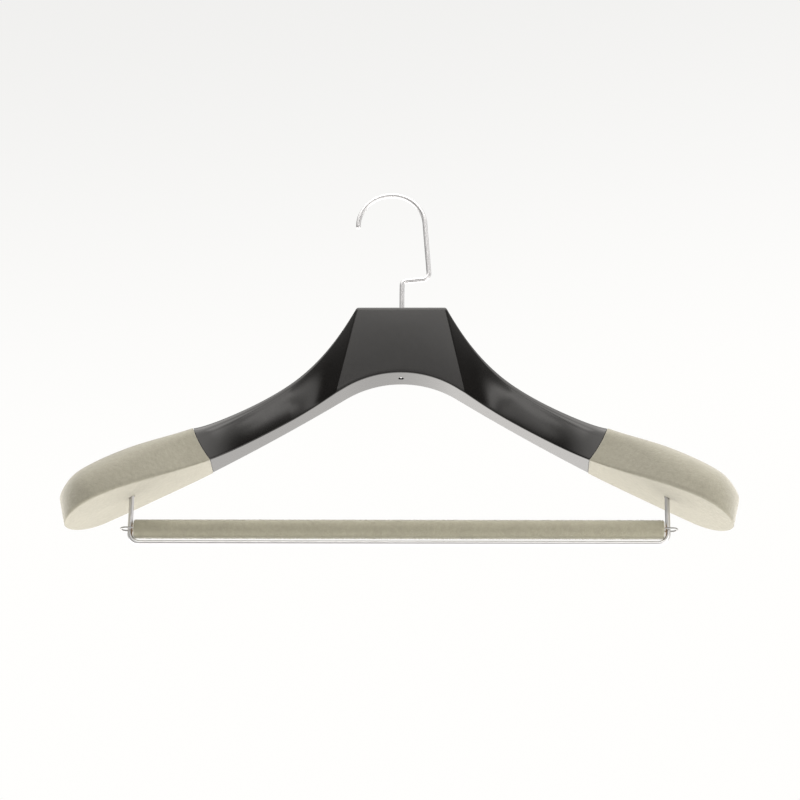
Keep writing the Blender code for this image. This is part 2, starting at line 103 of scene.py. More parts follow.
# From the waist to the velvet the thickness grows as a sum of (share, power) parts.
GROWTH = ((0.55, 1.3), (0.45, 4.5))


# Kinds of setting

def length(name, description, default):
    return FloatProperty(name=name, description=description, default=default,
                         unit="LENGTH", subtype="DISTANCE", precision=5)


def angle(name, description, degrees):
    return FloatProperty(name=name, description=description, default=math.radians(degrees),
                         unit="ROTATION", subtype="ANGLE")


def number(name, description, default):
    return FloatProperty(name=name, description=description, default=default, precision=4)


def color(name, description, default):
    return FloatVectorProperty(name=name, description=description, default=default,
                               size=3, min=0.0, max=1.0, subtype="COLOR")


# Settings

class HookSettings(bpy.types.PropertyGroup):
    wire: length("Wire", "Diameter of the hook's wire", 0.0032)
    radius: length("Arc radius", "Of the arc, along the middle of the wire", 0.0228)
    offset: length("Arc offset", "From the shank to the middle of the arc", 0.0076)
    rise: length("Arc height", "From the neck's top to the middle of the arc", 0.0658)
    tip_angle: angle("Tip angle", "Round the arc, from level on the shank's side", 186.0)
    side_lean: angle("Side lean", "How far the straight side leans outwards", 4.6)
    crank_height: length("Crank height", "Where the shank starts", 0.0238)
    crank_slope: angle("Crank slope", "Of the short run above the shank", 5.5)
    outer_bend: length("Outer bend", "Radius under the straight side", 0.0046)
    inner_bend: length("Inner bend", "Radius at the top of the shank", 0.0033)
    end_depth: length("Shank end", "How deep its end sits in the neck's underside", 0.0005)


class ArmSettings(bpy.types.PropertyGroup):
    neck_height: length("Neck height", "At the middle", 0.0477)
    neck_thickness: length("Neck thickness", "From the front to the rear", 0.0222)
    neck_top: length("Neck top", "Width of the neck's top", 0.0600)
    neck_corner: length("Neck corner", "Rounding of the top's corners", 0.002)
    neck_bevel: length("Neck bevel", "Rounding along the top's long edges", 0.0016)
    neck_bevel_rise: length("Neck bevel rise", "How far down its faces it starts", 0.0027)
    neck_crown: length("Neck crown", "How far the neck's faces bulge", 0.0003)
    face_foot: length("Face foot", "Width of the flat front face at its foot", 0.0858)
    flank_angle: angle("Flank angle", "How steeply the neck's sides start down", 61.5)
    flank_reach: length("Flank reach", "How far that first slope is felt", 0.056)
    cuff_reach: length("Cuff reach", "How far the slope at the velvet is felt", 0.054)
    arch_radius: length("Arch radius", "Of the arch under the neck", 0.068)
    slope: angle("Arm slope", "Below level, where the arch ends", 33.3)
    ease_radius: length("Ease radius", "On which the underside levels out", 2.0)
    rear_radius: length("Rear radius", "On which the back curves forward", 1.55)
    flank_taper: angle("Flank taper", "Of the front, just outside the crease", 13.0)
    waist_reach: length("Waist reach", "From the crease's foot to the waist", 0.0290)
    waist: length("Waist", "Thickness at the thinnest place", 0.0175)
    waist_edge: length("Waist edge", "Rounding of the top edges there", 0.0048)
    cuff_x: length("Cuff place", "From the middle out to the velvet", 0.1240)
    cuff: length("Cuff thickness", "Where the velvet starts", 0.0248)
    cuff_height: length("Cuff height", "Where the velvet starts", 0.0279)
    cuff_lean: angle("Cuff lean", "How far the velvet's edge leans outwards", 27.0)
    cuff_slope: angle("Cuff slope", "Of the top line at the velvet", 24.0)
    cuff_edge: length("Cuff edge", "Rounding of the top edges there", 0.0100)
    cuff_bow: length("Cuff bow", "How far the velvet's edge bows outwards", 0.0016)
    crest_reach: length("Crest reach", "From the velvet's edge to the tallest place", 0.0404)
    crest: length("Crest height", "There", 0.0303)
    shoulder_reach: length("Shoulder reach", "From the velvet's edge to the thickest", 0.0680)
    shoulder: length("Shoulder thickness", "There", 0.0540)
    dome: length("Shoulder dome", "How far down the rounded top reaches", 0.0240)
    dome_foot: length("Dome foot", "The least of the side that stays below it", 0.0016)
    nose_reach: length("Nose reach", "From the thickest place to the end", 0.0231)
    tip_height: length("Tip height", "Height of the arm's end", 0.0168)
    nose_fullness: number("Nose fullness", "2 rounds its top as an ellipse", 2.4)
    tip_lean: angle("Tip lean", "How far the arm's end leans outwards", 13.0)
    foot_edge: length("Foot edge", "Rounding of the bottom edges", 0.0008)
    velvet_foot_edge: length("Velvet foot edge", "The same under the velvet", 0.0024)
    crown: length("Face crown", "How far the arms' faces bulge", 0.0005)
    flank_bunching: number("Flank bunching", "How close sections lie by the crease", 1.5)
    flank_fan: number("Flank fan", "How far their tops run ahead of their feet", 0.6)


class FittingSettings(bpy.types.PropertyGroup):
    bush_wall: length("Bush wall", "Thickness of the hook's brass bush", 0.0013)
    bush_length: length("Bush length", "How deep it goes", 0.018)
    collar: length("Collar", "Diameter of the collar on the shank", 0.008)
    collar_height: length("Collar height", "Along the shank", 0.003)
    collar_rise: length("Collar rise", "From the neck's underside to its middle", 0.0168)
    dowel: length("Dowel", "Diameter of the dowels between the arms", 0.004)
    dowel_length: length("Dowel length", "Across the middle", 0.024)
    dowel_depth: length("Dowel depth", "Below the neck's top", 0.014)


class VelvetSettings(bpy.types.PropertyGroup):
    thickness: length("Thickness", "Of the velvet", 0.0008)
    proud: length("Proud", "How far it stands out from the lacquer", 0.0003)
    rim: length("Rim", "Rounding of its cut edge", 0.00028)
    fibre: length("Fibre length", "Of the pile that stands up", 0.00062)
    fibre_width: length("Fibre width", "Of one tuft of the pile", 0.00009)
    density: number("Fibre density", "Tufts to a square metre", 3400000.0)
    lean: angle("Fibre lean", "How unevenly the pile stands", 34.0)
    seed: IntProperty(name="Seed", description="Of the pile's places", default=7)


class FrameSettings(bpy.types.PropertyGroup):
    leg_inset: length("Leg inset", "From the arm's end to the leg's middle", 0.0414)
    leg_insert: length("Leg insert", "How far each leg goes up into the wood", 0.016)
    leg_reach: length("Leg reach", "From the underside to the lower run", 0.0313)
    bend: length("Bend", "Radius of the frame's corners", 0.0064)
    bar: length("Bar", "Diameter of the trouser bar", 0.012)
    bar_gap: length("Bar gap", "From the bar's end to the leg", 0.0008)
    bar_round: length("Bar rounding", "Of the bar's ends", 0.0014)
    sleeve: length("Sleeve", "Thickness of the bar's velvet", 0.0008)
    eye_wire: length("Eye wire", "Diameter of the loops' wire", 0.0012)
    eye_width: length("Eye width", "Inside the loop", 0.0054)
    eye_reach: length("Eye reach", "From the leg to the loop's far end", 0.0060)
    eye_insert: length("Eye insert", "How far the loops go into the bar", 0.007)


class FinishSettings(bpy.types.PropertyGroup):
    lacquer: color("Lacquer", "The arms", (0.0055, 0.0050, 0.0046))
    arm_velvet: color("Arm velvet", "The shoulder ends", (0.300, 0.286, 0.228))
    bar_velvet: color("Bar velvet", "The trouser bar", (0.350, 0.334, 0.256))
    chrome: color("Chrome", "The hook and the frame", (0.68, 0.68, 0.69))
    steel: color("Steel", "The collar and the eyes", (0.36, 0.36, 0.36))
    brass: color("Brass", "The bush", (0.76, 0.57, 0.28))
    wood: color("Wood", "The dowels and the bar's core", (0.56, 0.38, 0.22))


class StageSettings(bpy.types.PropertyGroup):
    azimuth: angle("Azimuth", "Of the camera, from straight in front to the right", 1.7)
    elevation: angle("Elevation", "Of the camera above the object", -22.0)
    distance: length("Distance", "From the camera to its target", 1.8)
    target: FloatVectorProperty(name="Target", description="What the camera looks at",
                                default=(0.00704, 0.0, -0.15017), subtype="TRANSLATION",
                                unit="LENGTH", precision=5)
    lens: FloatProperty(name="Lens", description="Focal length in millimetres", default=121.3)
    roll: angle("Roll", "How far the camera is turned about its view", 0.65)
    floor_drop: length("Floor", "How far the floor lies below the hook's rest", 1.25)
    floor_size: length("Floor size", "Its half width", 14.0)
    floor_color: color("Floor color", "The pale floor", (0.62, 0.62, 0.61))
    backdrop: color("Backdrop", "What shows behind the object", (1.0, 0.995, 0.982))
    light_color: color("Light color", "Of the soft boxes", (1.0, 0.975, 0.945))
    near_box: FloatVectorProperty(name="Near box", description="Where the near soft box is",
                                  default=(0.555, -0.466, -0.344), subtype="TRANSLATION",
                                  unit="LENGTH")
    near_box_size: length("Near box size", "The side of the near soft box", 0.5)
    near_box_power: number("Near box power", "In watts", 1.9)


def settings():
    return bpy.context.scene.velvet_hanger


# Curves and eases

def smooth(fraction):
    f = min(max(fraction, 0.0), 1.0)
    return f * f * (3.0 - 2.0 * f)


def bulge(fraction):
    """0 at both ends and 1 halfway."""
    return 4.0 * fraction * (1.0 - fraction)


def eased(x, *keys):
    """The value at x, easing from each (x, value) key to the next."""
    if x <= keys[0][0]:
        return keys[0][1]
    for (x0, v0), (x1, v1) in zip(keys, keys[1:]):
        if x <= x1:
            return v0 + (v1 - v0) * smooth((x - x0) / (x1 - x0))
    return keys[-1][1]


def lean_way(lean):
    """The upward direction that leans outwards by that angle, in the X-Z plane."""
    return Vector((math.sin(lean), math.cos(lean)))


def sweep(turn, steps):
    """The angles from 0 up to a turn, in equal steps."""
    return [turn * i / steps for i in range(steps + 1)]


def fillet(before, corner, after, radius):
    """The points of an arc that rounds a corner between two straight runs."""
    into = (corner - before).normalized()
    out = (after - corner).normalized()
    turn = into.angle(out)
    side = (out - into * into.dot(out)).normalized()
    centre = corner - into * radius * math.tan(turn / 2) + side * radius
    return [centre - side * radius * math.cos(a) + into * radius * math.sin(a)
            for a in sweep(turn, BEND_STEPS)]


def along(points, fraction):
    """The place that far along a chain of points, by length."""
    lengths = [(b - a).length for a, b in zip(points, points[1:])]
    left = fraction * sum(lengths)
    for a, b, step in zip(points, points[1:], lengths):
        if left <= step:
            return a.lerp(b, left / step)
        left -= step
    return points[-1].copy()


def place():
    """From the neck's top to the world's origin, inside the top of the hook."""
    hook = settings().hook
    return Vector((hook.offset, 0.0, -(hook.rise + hook.radius - hook.wire / 2)))


def placed(points):
    """The same points, moved from the neck's top to the world's origin."""
    shift = place()
    return [point + shift for point in points]


# The shape of an arm

class ArmShape:
    """Where an arm's surface lies, by its place x out from the middle."""

    def __init__(self):
        self.s = settings().arms
        s = self.s
        self.face_foot = s.face_foot / 2
        self.waist_x = self.face_foot + s.waist_reach
        self.crest_x = s.cuff_x + s.crest_reach
        self.shoulder_x = s.cuff_x + s.shoulder_reach
        self.tip_x = self.shoulder_x + s.nose_reach
        self.leg_x = self.tip_x - settings().frame.leg_inset
        self.line = self.top_line()

    def underside(self, x):
        s = self.s
        arch_x = s.arch_radius * math.sin(s.slope)
        if x <= arch_x:
            a = math.asin(x / s.arch_radius)
            return -s.neck_height - s.arch_radius * (1 - math.cos(a))
        arch_z = -s.neck_height - s.arch_radius * (1 - math.cos(s.slope))
        a = math.asin(math.sin(s.slope) - (x - arch_x) / s.ease_radius)
        return arch_z - s.ease_radius * (math.cos(a) - math.cos(s.slope))

    def foot(self, x):
        return Vector((x, self.underside(x)))

    def rear(self, x):
        return self.s.neck_thickness / 2 - x * x / (2 * self.s.rear_radius)

    def thickness(self, x):
        """From the front to the rear: down to the waist, then out to the shoulder."""
        s = self.s
        if x <= self.face_foot:
            return s.neck_thickness / 2 + self.rear(x)
        if x <= self.waist_x:
            start = s.neck_thickness / 2 + self.rear(self.face_foot)
            taper = math.tan(s.flank_taper)
            ease = 2 * (s.waist_reach - (start - s.waist) / taper)
            left = self.waist_x - x
            if left >= ease:
                return start - taper * (x - self.face_foot)
            return s.waist + taper * left * left / (2 * ease)
        growth, run = s.cuff - s.waist, s.cuff_x - self.waist_x
        if x <= s.cuff_x:
            u = (x - self.waist_x) / run
            return s.waist + growth * sum(part * u ** power for part, power in GROWTH)
        if x >= self.shoulder_x:
            return s.shoulder
        f = (x - s.cuff_x) / s.shoulder_reach
        steepness = sum(part * power for part, power in GROWTH)
        slope = steepness * growth / run * s.shoulder_reach
        return s.cuff + (s.shoulder - s.cuff) * smooth(f) + slope * f * (1 - f) ** 2

    def height(self, x):
        """From the underside to the top, from the velvet's edge out to the tip."""
        s = self.s
        if x <= self.crest_x:
            return eased(x, (s.cuff_x, s.cuff_height), (self.crest_x, s.crest))
        f = min((x - self.crest_x) / (self.tip_x - self.crest_x), 1.0)
        left = (1 - f ** s.nose_fullness) ** (1 / s.nose_fullness)
        return s.tip_height + (s.crest - s.tip_height) * left

    def top_line(self):
        """The top, seen from the front, from the neck's corner to the velvet's edge."""
        s = self.s
        steep = s.flank_angle
        corner_x = s.neck_top / 2 - s.neck_corner * math.tan(steep / 2)
        centre = Vector((corner_x, -s.neck_corner))
        points = [centre + s.neck_corner * Vector((math.sin(a), math.cos(a)))
                  for a in sweep(steep, BEND_STEPS)]
        start = points[-1]
        end = self.foot(s.cuff_x) + s.cuff_height * lean_way(s.cuff_lean)
        first = start + s.flank_reach * Vector((math.cos(steep), -math.sin(steep)))
        level = s.cuff_slope
        last = end - s.cuff_reach * Vector((math.cos(level), -math.sin(level)))
        for i in range(1, TOP_LINE_STEPS + 1):
            t = i / TOP_LINE_STEPS
            points.append(
                start * (1 - t) ** 3 + first * 3 * t * (1 - t) ** 2
                + last * 3 * t * t * (1 - t) + end * t ** 3
            )
        return points

    def leg_middle(self):
        """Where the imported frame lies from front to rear."""
        low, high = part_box("bar_frame_wire")
        return (low.y + high.y) / 2

    def frame_height(self):
        return self.underside(self.leg_x) - settings().frame.leg_reach

    def ring(self, section, side, grow=0.0):
        """One section's outline in space, standing out by grow all round."""
        s = self.s
        x, foot, top, shrink = section
        middle = self.rear(x) - self.thickness(x) / 2
        half_width = self.thickness(x) / 2 * shrink + grow * shrink
        front, back = middle - half_width, middle + half_width
        up = (top - foot).normalized()
        low, high = -grow, (top - foot).length + grow
        edge_y = eased(x, (self.face_foot, s.neck_bevel), (self.waist_x, s.waist_edge),
                       (s.cuff_x, s.cuff_edge), (self.shoulder_x, s.shoulder / 2))
        edge_z = eased(x, (self.face_foot, s.neck_bevel_rise), (self.waist_x, s.waist_edge),
                       (s.cuff_x, s.cuff_edge), (self.shoulder_x, s.dome))
        foot_edge = eased(x, (s.cuff_x, s.foot_edge), (self.crest_x, s.velvet_foot_edge))
        crown = eased(x, (self.face_foot, s.neck_crown), (self.waist_x, s.crown),
                      (self.shoulder_x, 0.0))
        bow = s.cuff_bow * eased(x, (self.waist_x, 0.0), (s.cuff_x, 1.0), (self.crest_x, 0.0))
        foot_y, edge_y = min(foot_edge, half_width), min(edge_y, half_width)
        edge_z = min(edge_z, high - low - foot_edge - s.dome_foot)
        outline = [(front + foot_y + min(FLAT_HOLD, (half_width - foot_y) / 2), low)]
        for a in sweep(QUARTER, FOOT_STEPS):
            outline.append((front + foot_y * (1 - math.sin(a)),
                            low + foot_edge * (1 - math.cos(a))))
        side_low, side_high = low + foot_edge, high - edge_z
        for i in range(1, SIDE_STEPS):
            f = i / SIDE_STEPS
            outline.append((front - crown * bulge(f),
                            side_low + (side_high - side_low) * f))
        for a in sweep(QUARTER, EDGE_STEPS):
            outline.append((front + edge_y * (1 - math.cos(a)),
                            high - edge_z * (1 - math.sin(a))))
        outline.append((front + edge_y + min(FLAT_HOLD, (half_width - edge_y) / 2), high))
        outline += [(front + back - y, v) for y, v in reversed(outline)]
        return [Vector((side * (foot.x + up.x * v + bow * bulge((v - low) / (high - low))),
                        y, foot.y + up.y * v)) for y, v in outline]

    def wood_sections(self):
        """The sections from the middle of the hanger to the velvet's edge."""
        sections = []
        for i in range(FACE_SECTIONS):
            f = i / FACE_SECTIONS
            x = self.face_foot * f
            sections.append((x, self.foot(x), Vector((self.line[0].x * f, 0.0)), 1.0))
        for i in range(FLANK_SECTIONS + 1):
            f = (i / FLANK_SECTIONS) ** self.s.flank_bunching
            x = self.face_foot + (self.s.cuff_x - self.face_foot) * f
            top = along(self.line, f + self.s.flank_fan * f * (1 - f))
            sections.append((x, self.foot(x), top, 1.0))
        return sections

    def velvet_section(self, x):
        foot = self.foot(x)
        return x, foot, foot + self.height(x) * lean_way(self.s.cuff_lean), 1.0

    def velvet_sections(self, start, grow, count):
        """The sections from beside the velvet's edge to the rounded end of the arm."""
        sections = []
        for i in range(count):
            x = start + (self.shoulder_x - start) * i / count
            sections.append(self.velvet_section(x))
        for a in sweep(QUARTER, NOSE_SECTIONS):
            x = self.shoulder_x + (self.tip_x - self.shoulder_x) * math.sin(a)
            lean = eased(x, (self.shoulder_x, self.s.cuff_lean), (self.tip_x, self.s.tip_lean))
            shift = Vector((grow * math.sin(a), 0.0))
            foot = self.foot(x)
            top = foot + self.height(x) * lean_way(lean)
            sections.append((x, foot + shift, top + shift, math.cos(a)))
        return sections


# Meshes

def mesh_of(bm, name):
    bmesh.ops.remove_doubles(bm, verts=bm.verts, dist=MERGE_DISTANCE)
    bmesh.ops.dissolve_degenerate(bm, edges=bm.edges, dist=MERGE_DISTANCE)
    bmesh.ops.recalc_face_normals(bm, faces=bm.faces)
    mesh = bpy.data.meshes.new(name)
    bm.to_mesh(mesh)
    bm.free()
    return mesh


def skin(rings, capped=False, closed=False):
    """A surface through rings of points, with a flat end on the first if capped."""
    bm = bmesh.new()
    rows = [[bm.verts.new(point) for point in ring] for ring in rings]
    following = rows[1:] + rows[:1] if closed else rows[1:]
    for row, after in zip(rows, following):
        for i in range(len(row)):
            j = (i + 1) % len(row)
            bm.faces.new((row[i], row[j], after[j], after[i]))
    if capped:
        bm.faces.new(rows[0])
    return bm


def new_piece(name, mesh):
    obj = bpy.data.objects.new(name, mesh)
    bpy.context.scene.collection.objects.link(obj)
    return obj


def skinned(name, rings, **options):
    """A piece whose surface goes through rings of points."""
    return new_piece(name, mesh_of(skin(rings, **options), name))


def cylinder_mesh(name, radius, start, end):
    """A closed cylinder between two points."""
    bm = bmesh.new()
    bmesh.ops.create_cone(bm, cap_ends=True, segments=ROUND_STEPS, radius1=radius,
                          radius2=radius, depth=(end - start).length)
    turn = (end - start).to_track_quat("Z", "Y").to_matrix().to_4x4()
    bm.transform(Matrix.Translation((start + end) / 2) @ turn)
    return mesh_of(bm, name)


def baked(obj):
    """The object's mesh with its modifiers worked in, and the modifiers gone."""
    bpy.context.view_layer.update()
    graph = bpy.context.evaluated_depsgraph_get()
    mesh = bpy.data.meshes.new_from_object(obj.evaluated_get(graph))
    old = obj.data
    obj.modifiers.clear()
    obj.data = mesh
    mesh.name = obj.name
    bpy.data.meshes.remove(old)
    return obj


def carve(obj, holes):
    """Cuts round holes, each given as (radius, start, end)."""
    tools = []
    for radius, start, end in holes:
        tool = new_piece("hole", cylinder_mesh("hole", radius, start, end))
        modifier = obj.modifiers.new("hole", "BOOLEAN")
        modifier.operation = "DIFFERENCE"
        modifier.solver = "EXACT"
        modifier.object = tool
        tools.append(tool)
    baked(obj)
    for tool in tools:
        mesh = tool.data
        bpy.data.objects.remove(tool, do_unlink=True)
        bpy.data.meshes.remove(mesh)


def shade(obj, degrees=SHARP_ANGLE):
    obj.data.shade_smooth()
    obj.data.set_sharp_from_angle(angle=math.radians(degrees))


def settle(obj, body, material, replaced=()):
    """Gives a finished piece its material and its body, and hides the imported nodes that it
    stands for.
    """
    obj.data.materials.clear()
    obj.data.materials.append(material)
    if replaced:
        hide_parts(*replaced)
    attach(obj, body)


# Node groups

def once(name):
    """Has a function make the node group of that name when it is first wanted."""
    def wrap(make):
        def wanted():
            if name not in bpy.data.node_groups:
                make(name)
            return bpy.data.node_groups[name]
        return wanted
    return wrap


def new_group(name, kind, inputs, outputs):
    """A node group with named inputs and outputs, and its input and output nodes."""
    group = bpy.data.node_groups.new(name, kind)
    for title, socket_type, default in inputs:
        socket = group.interface.new_socket(title, in_out="INPUT", socket_type=socket_type)
        if default is not None:
            socket.default_value = default
    for title, socket_type in outputs:
        group.interface.new_socket(title, in_out="OUTPUT", socket_type=socket_type)
    return group, group.nodes.new("NodeGroupInput"), group.nodes.new("NodeGroupOutput")


def give(tree, socket, value):
    """Links a socket to the one given, or sets it to the value given."""
    if isinstance(value, bpy.types.NodeSocket):
        tree.links.new(value, socket)
    else:
        socket.default_value = value


def feed(tree, node, title, value):
    """Gives a value to the input of that identifier, written with spaces."""
    give(tree, next(s for s in node.inputs if s.identifier.replace("_", " ") == title), value)


def plug(tree, kind, **inputs):
    """A node with its inputs set or linked by their identifiers, spaces as underscores."""
    node = tree.nodes.new(kind)
    for title, value in inputs.items():
        feed(tree, node, title.replace("_", " "), value)
    return node


def calc(tree, operation, *values):
    """The result of a Math node."""
    node = tree.nodes.new("ShaderNodeMath")
    node.operation = operation
    for socket, value in zip(node.inputs, values):
        give(tree, socket, value)
    return node.outputs[0]


def vector_calc(tree, operation, vector, factor):
    """The result of a Vector Math node that scales or multiplies a vector or color."""
    node = tree.nodes.new("ShaderNodeVectorMath")
    node.operation = operation
    give(tree, node.inputs[0], vector)
    give(tree, node.inputs["Scale" if operation == "SCALE" else 1], factor)
    return node.outputs[0]


# Geometry Nodes

GEOMETRY = ("Geometry", "NodeSocketGeometry")
TUFT_SMALLEST = (0.8, 0.8, 0.45)
TUFT_LARGEST = (1.2, 1.2, 1.0)


def finish_tree(tree, out, geometry, material):
    real = plug(tree, "GeometryNodeRealizeInstances", Geometry=geometry)
    made = plug(tree, "GeometryNodeSetMaterial", Geometry=real.outputs[0], Material=material)
    tree.links.new(made.outputs[0], out.inputs[0])


@once("wire_along_path")
def wire_tree(name):
    """A round wire along a chain of points, with its ends rounded off if wanted."""
    tree, given, out = new_group(name, "GeometryNodeTree", (
        (*GEOMETRY, None),
        ("Wire Radius", "NodeSocketFloat", 0.0016),
        ("Sides", "NodeSocketInt", WIRE_SIDES),
        ("Rounded Ends", "NodeSocketFloat", 1.0),
        ("Material", "NodeSocketMaterial", None),
    ), (GEOMETRY,))
    radius = given.outputs["Wire Radius"]
    path = plug(tree, "GeometryNodeMeshToCurve", Mesh=given.outputs["Geometry"])
    where = tree.nodes.new("GeometryNodeSplineParameter").outputs["Length"]
    whole = tree.nodes.new("GeometryNodeSplineLength").outputs["Length"]
    ends = []
    for distance in (where, calc(tree, "SUBTRACT", whole, where)):
        depth = calc(tree, "MINIMUM", calc(tree, "DIVIDE", distance, radius), 1.0)
        short = calc(tree, "SUBTRACT", 1.0, depth)
        squared = calc(tree, "MULTIPLY", short, short)
        squared = calc(tree, "MULTIPLY", squared, given.outputs["Rounded Ends"])
        inside = calc(tree, "MAXIMUM", calc(tree, "SUBTRACT", 1.0, squared), 0.0)
        ends.append(calc(tree, "SQRT", inside))
    thinning = calc(tree, "MAXIMUM", calc(tree, "MINIMUM", *ends), LEAST_THINNING)
    circle = tree.nodes.new("GeometryNodeCurvePrimitiveCircle")
    circle.mode = "RADIUS"
    feed(tree, circle, "Resolution", given.outputs["Sides"])
    feed(tree, circle, "Radius", radius)
    tube = plug(tree, "GeometryNodeCurveToMesh", Curve=path.outputs[0],
                Profile_Curve=circle.outputs[0], Scale=thinning, Fill_Caps=True)
    shaded = plug(tree, "GeometryNodeSetShadeSmooth", Geometry=tube.outputs[0])
    finish_tree(tree, out, shaded.outputs[0], given.outputs["Material"])


@once("velvet_pile")
def pile_tree(name):
    """Short tufts that stand on a surface, each a narrow spike, at random but seeded."""
    tree, given, out = new_group(name, "GeometryNodeTree", (
        (*GEOMETRY, None),
        ("Density", "NodeSocketFloat", 1000000.0),
        ("Fibre Length", "NodeSocketFloat", 0.0005),
        ("Fibre Width", "NodeSocketFloat", 0.00008),
        ("Lean", "NodeSocketFloat", 0.5),
        ("Seed", "NodeSocketInt", 1),
        ("Material", "NodeSocketMaterial", None),
    ), (GEOMETRY,))
    seed, lean = given.outputs["Seed"], given.outputs["Lean"]
    spots = plug(tree, "GeometryNodeDistributePointsOnFaces",
                 Mesh=given.outputs["Geometry"], Density=given.outputs["Density"], Seed=seed)
    tuft = plug(tree, "GeometryNodeMeshCone", Vertices=3, Side_Segments=1, Fill_Segments=1,
                Radius_Top=0.0, Radius_Bottom=given.outputs["Fibre Width"],
                Depth=given.outputs["Fibre Length"])
    back = calc(tree, "MULTIPLY", lean, -1.0)
    lowest = plug(tree, "ShaderNodeCombineXYZ", X=back, Y=back, Z=0.0)
    highest = plug(tree, "ShaderNodeCombineXYZ", X=lean, Y=lean, Z=2 * math.pi)
    draws = []
    for least, most, own_seed in (
            (lowest.outputs[0], highest.outputs[0], seed),
            (TUFT_SMALLEST, TUFT_LARGEST, calc(tree, "ADD", seed, 1.0))):
        draw = tree.nodes.new("FunctionNodeRandomValue")
        draw.data_type = "FLOAT_VECTOR"
        feed(tree, draw, "Min", least)
        feed(tree, draw, "Max", most)
        feed(tree, draw, "Seed", own_seed)
        draws.append(draw.outputs[0])
    tilt, size = draws
    turn = plug(tree, "FunctionNodeEulerToRotation", Euler=tilt)
    stand = tree.nodes.new("FunctionNodeRotateRotation")
    stand.rotation_space = "LOCAL"
    feed(tree, stand, "Rotation", spots.outputs["Rotation"])
    feed(tree, stand, "Rotate By", turn.outputs[0])
    tufts = plug(tree, "GeometryNodeInstanceOnPoints", Points=spots.outputs["Points"],
                 Instance=tuft.outputs["Mesh"], Rotation=stand.outputs[0], Scale=size)
    finish_tree(tree, out, tufts.outputs[0], given.outputs["Material"])


def grown(obj, tree, **inputs):
    """Runs a geometry tree on an object with these inputs, and bakes the result."""
    modifier = obj.modifiers.new("made", "NODES")
    modifier.node_group = tree
    for item in tree.interface.items_tree:
        title = item.name.replace(" ", "_")
        if item.in_out == "INPUT" and title in inputs:
            modifier[item.identifier] = inputs[title]
    return baked(obj)


def wire_piece(name, points, radius, material, sides=WIRE_SIDES, rounded=0.0):
    mesh = bpy.data.meshes.new(name)
    mesh.from_pydata(points, [(i, i + 1) for i in range(len(points) - 1)], [])
    obj = grown(new_piece(name, mesh), wire_tree(), Wire_Radius=radius, Sides=sides,
                Rounded_Ends=rounded, Material=material)
    shade(obj, WIRE_SHARP_ANGLE)
    return obj


def rounded_start(points, radius):
    """Closely spaced points at the start of a wire, so that its end can be round."""
    way = (points[1] - points[0]).normalized()
    close = [points[0] + way * radius * (1 - math.cos(a))
             for a in sweep(QUARTER, TIP_STEPS)[:-1]]
    return close + [p for p in points[1:] if (p - points[0]).length > radius]


def pile_piece(name, rings, seed_step, body, material):
    """The pile that stands on a velvet surface through these rings."""
    velvet = settings().velvet
    pile = grown(skinned(name, rings), pile_tree(), Density=velvet.density,
                 Fibre_Length=velvet.fibre, Fibre_Width=velvet.fibre_width,
                 Lean=velvet.lean, Seed=velvet.seed + seed_step, Material=material)
    settle(pile, body, material)


# Shader groups

COLOR_AND_HEIGHT = (("Color", "NodeSocketColor"), ("Height", "NodeSocketFloat"))
NOISE_MIDDLE = 0.5
MOTTLE_GAIN = 4.0
# The velvet's tufts, clumps and brushed patches: their scale and roughness
PILE_LAYERS = ((1.0, 0.65), (0.28, 0.6), (0.045, 0.5))
CLUMP_HEIGHT = 1.4
GRAIN_STRETCH = (0.06, 1.0, 1.0)
LINE_SHARE, PORE_SHARE, GRAIN_FLOOR = 0.55, 0.25, 0.6
PORE_SCALE = 6.0


def noise(tree, vector, scale, detail=2.0, roughness=0.5):
    node = tree.nodes.new("ShaderNodeTexNoise")
    node.inputs["Detail"].default_value = detail
    node.inputs["Roughness"].default_value = roughness
    tree.links.new(vector, node.inputs["Vector"])
    feed(tree, node, "Scale", scale)
    return node.outputs[0]


def between(tree, value, low, high, to_low=0.0, to_high=1.0):
    """A value carried from one range to another, and held inside it."""
    node = tree.nodes.new("ShaderNodeMapRange")
    node.interpolation_type = "SMOOTHSTEP"
    for title, given in (("Value", value), ("From Min", low), ("From Max", high),
                         ("To Min", to_low), ("To Max", to_high)):
        give(tree, next(s for s in node.inputs if s.name == title), given)
    return node.outputs[0]


@once("mottle")
def mottle_group(name):
    """An uneven value round 1: broad clouds with finer ones inside."""
    group, given, out = new_group(name, "ShaderNodeTree", (
        ("Vector", "NodeSocketVector", None),
        ("Size", "NodeSocketFloat", 0.01),
        ("Amount", "NodeSocketFloat", 0.2),
    ), (("Value", "NodeSocketFloat"),))
    scale = calc(group, "DIVIDE", 1.0, given.outputs["Size"])
    broad = noise(group, given.outputs["Vector"], scale, detail=3.0, roughness=0.55)
    centred = calc(group, "SUBTRACT", broad, NOISE_MIDDLE)
    spread = calc(group, "MULTIPLY", calc(group, "MULTIPLY", centred, MOTTLE_GAIN),
                  given.outputs["Amount"])
    group.links.new(calc(group, "ADD", spread, 1.0), out.inputs["Value"])


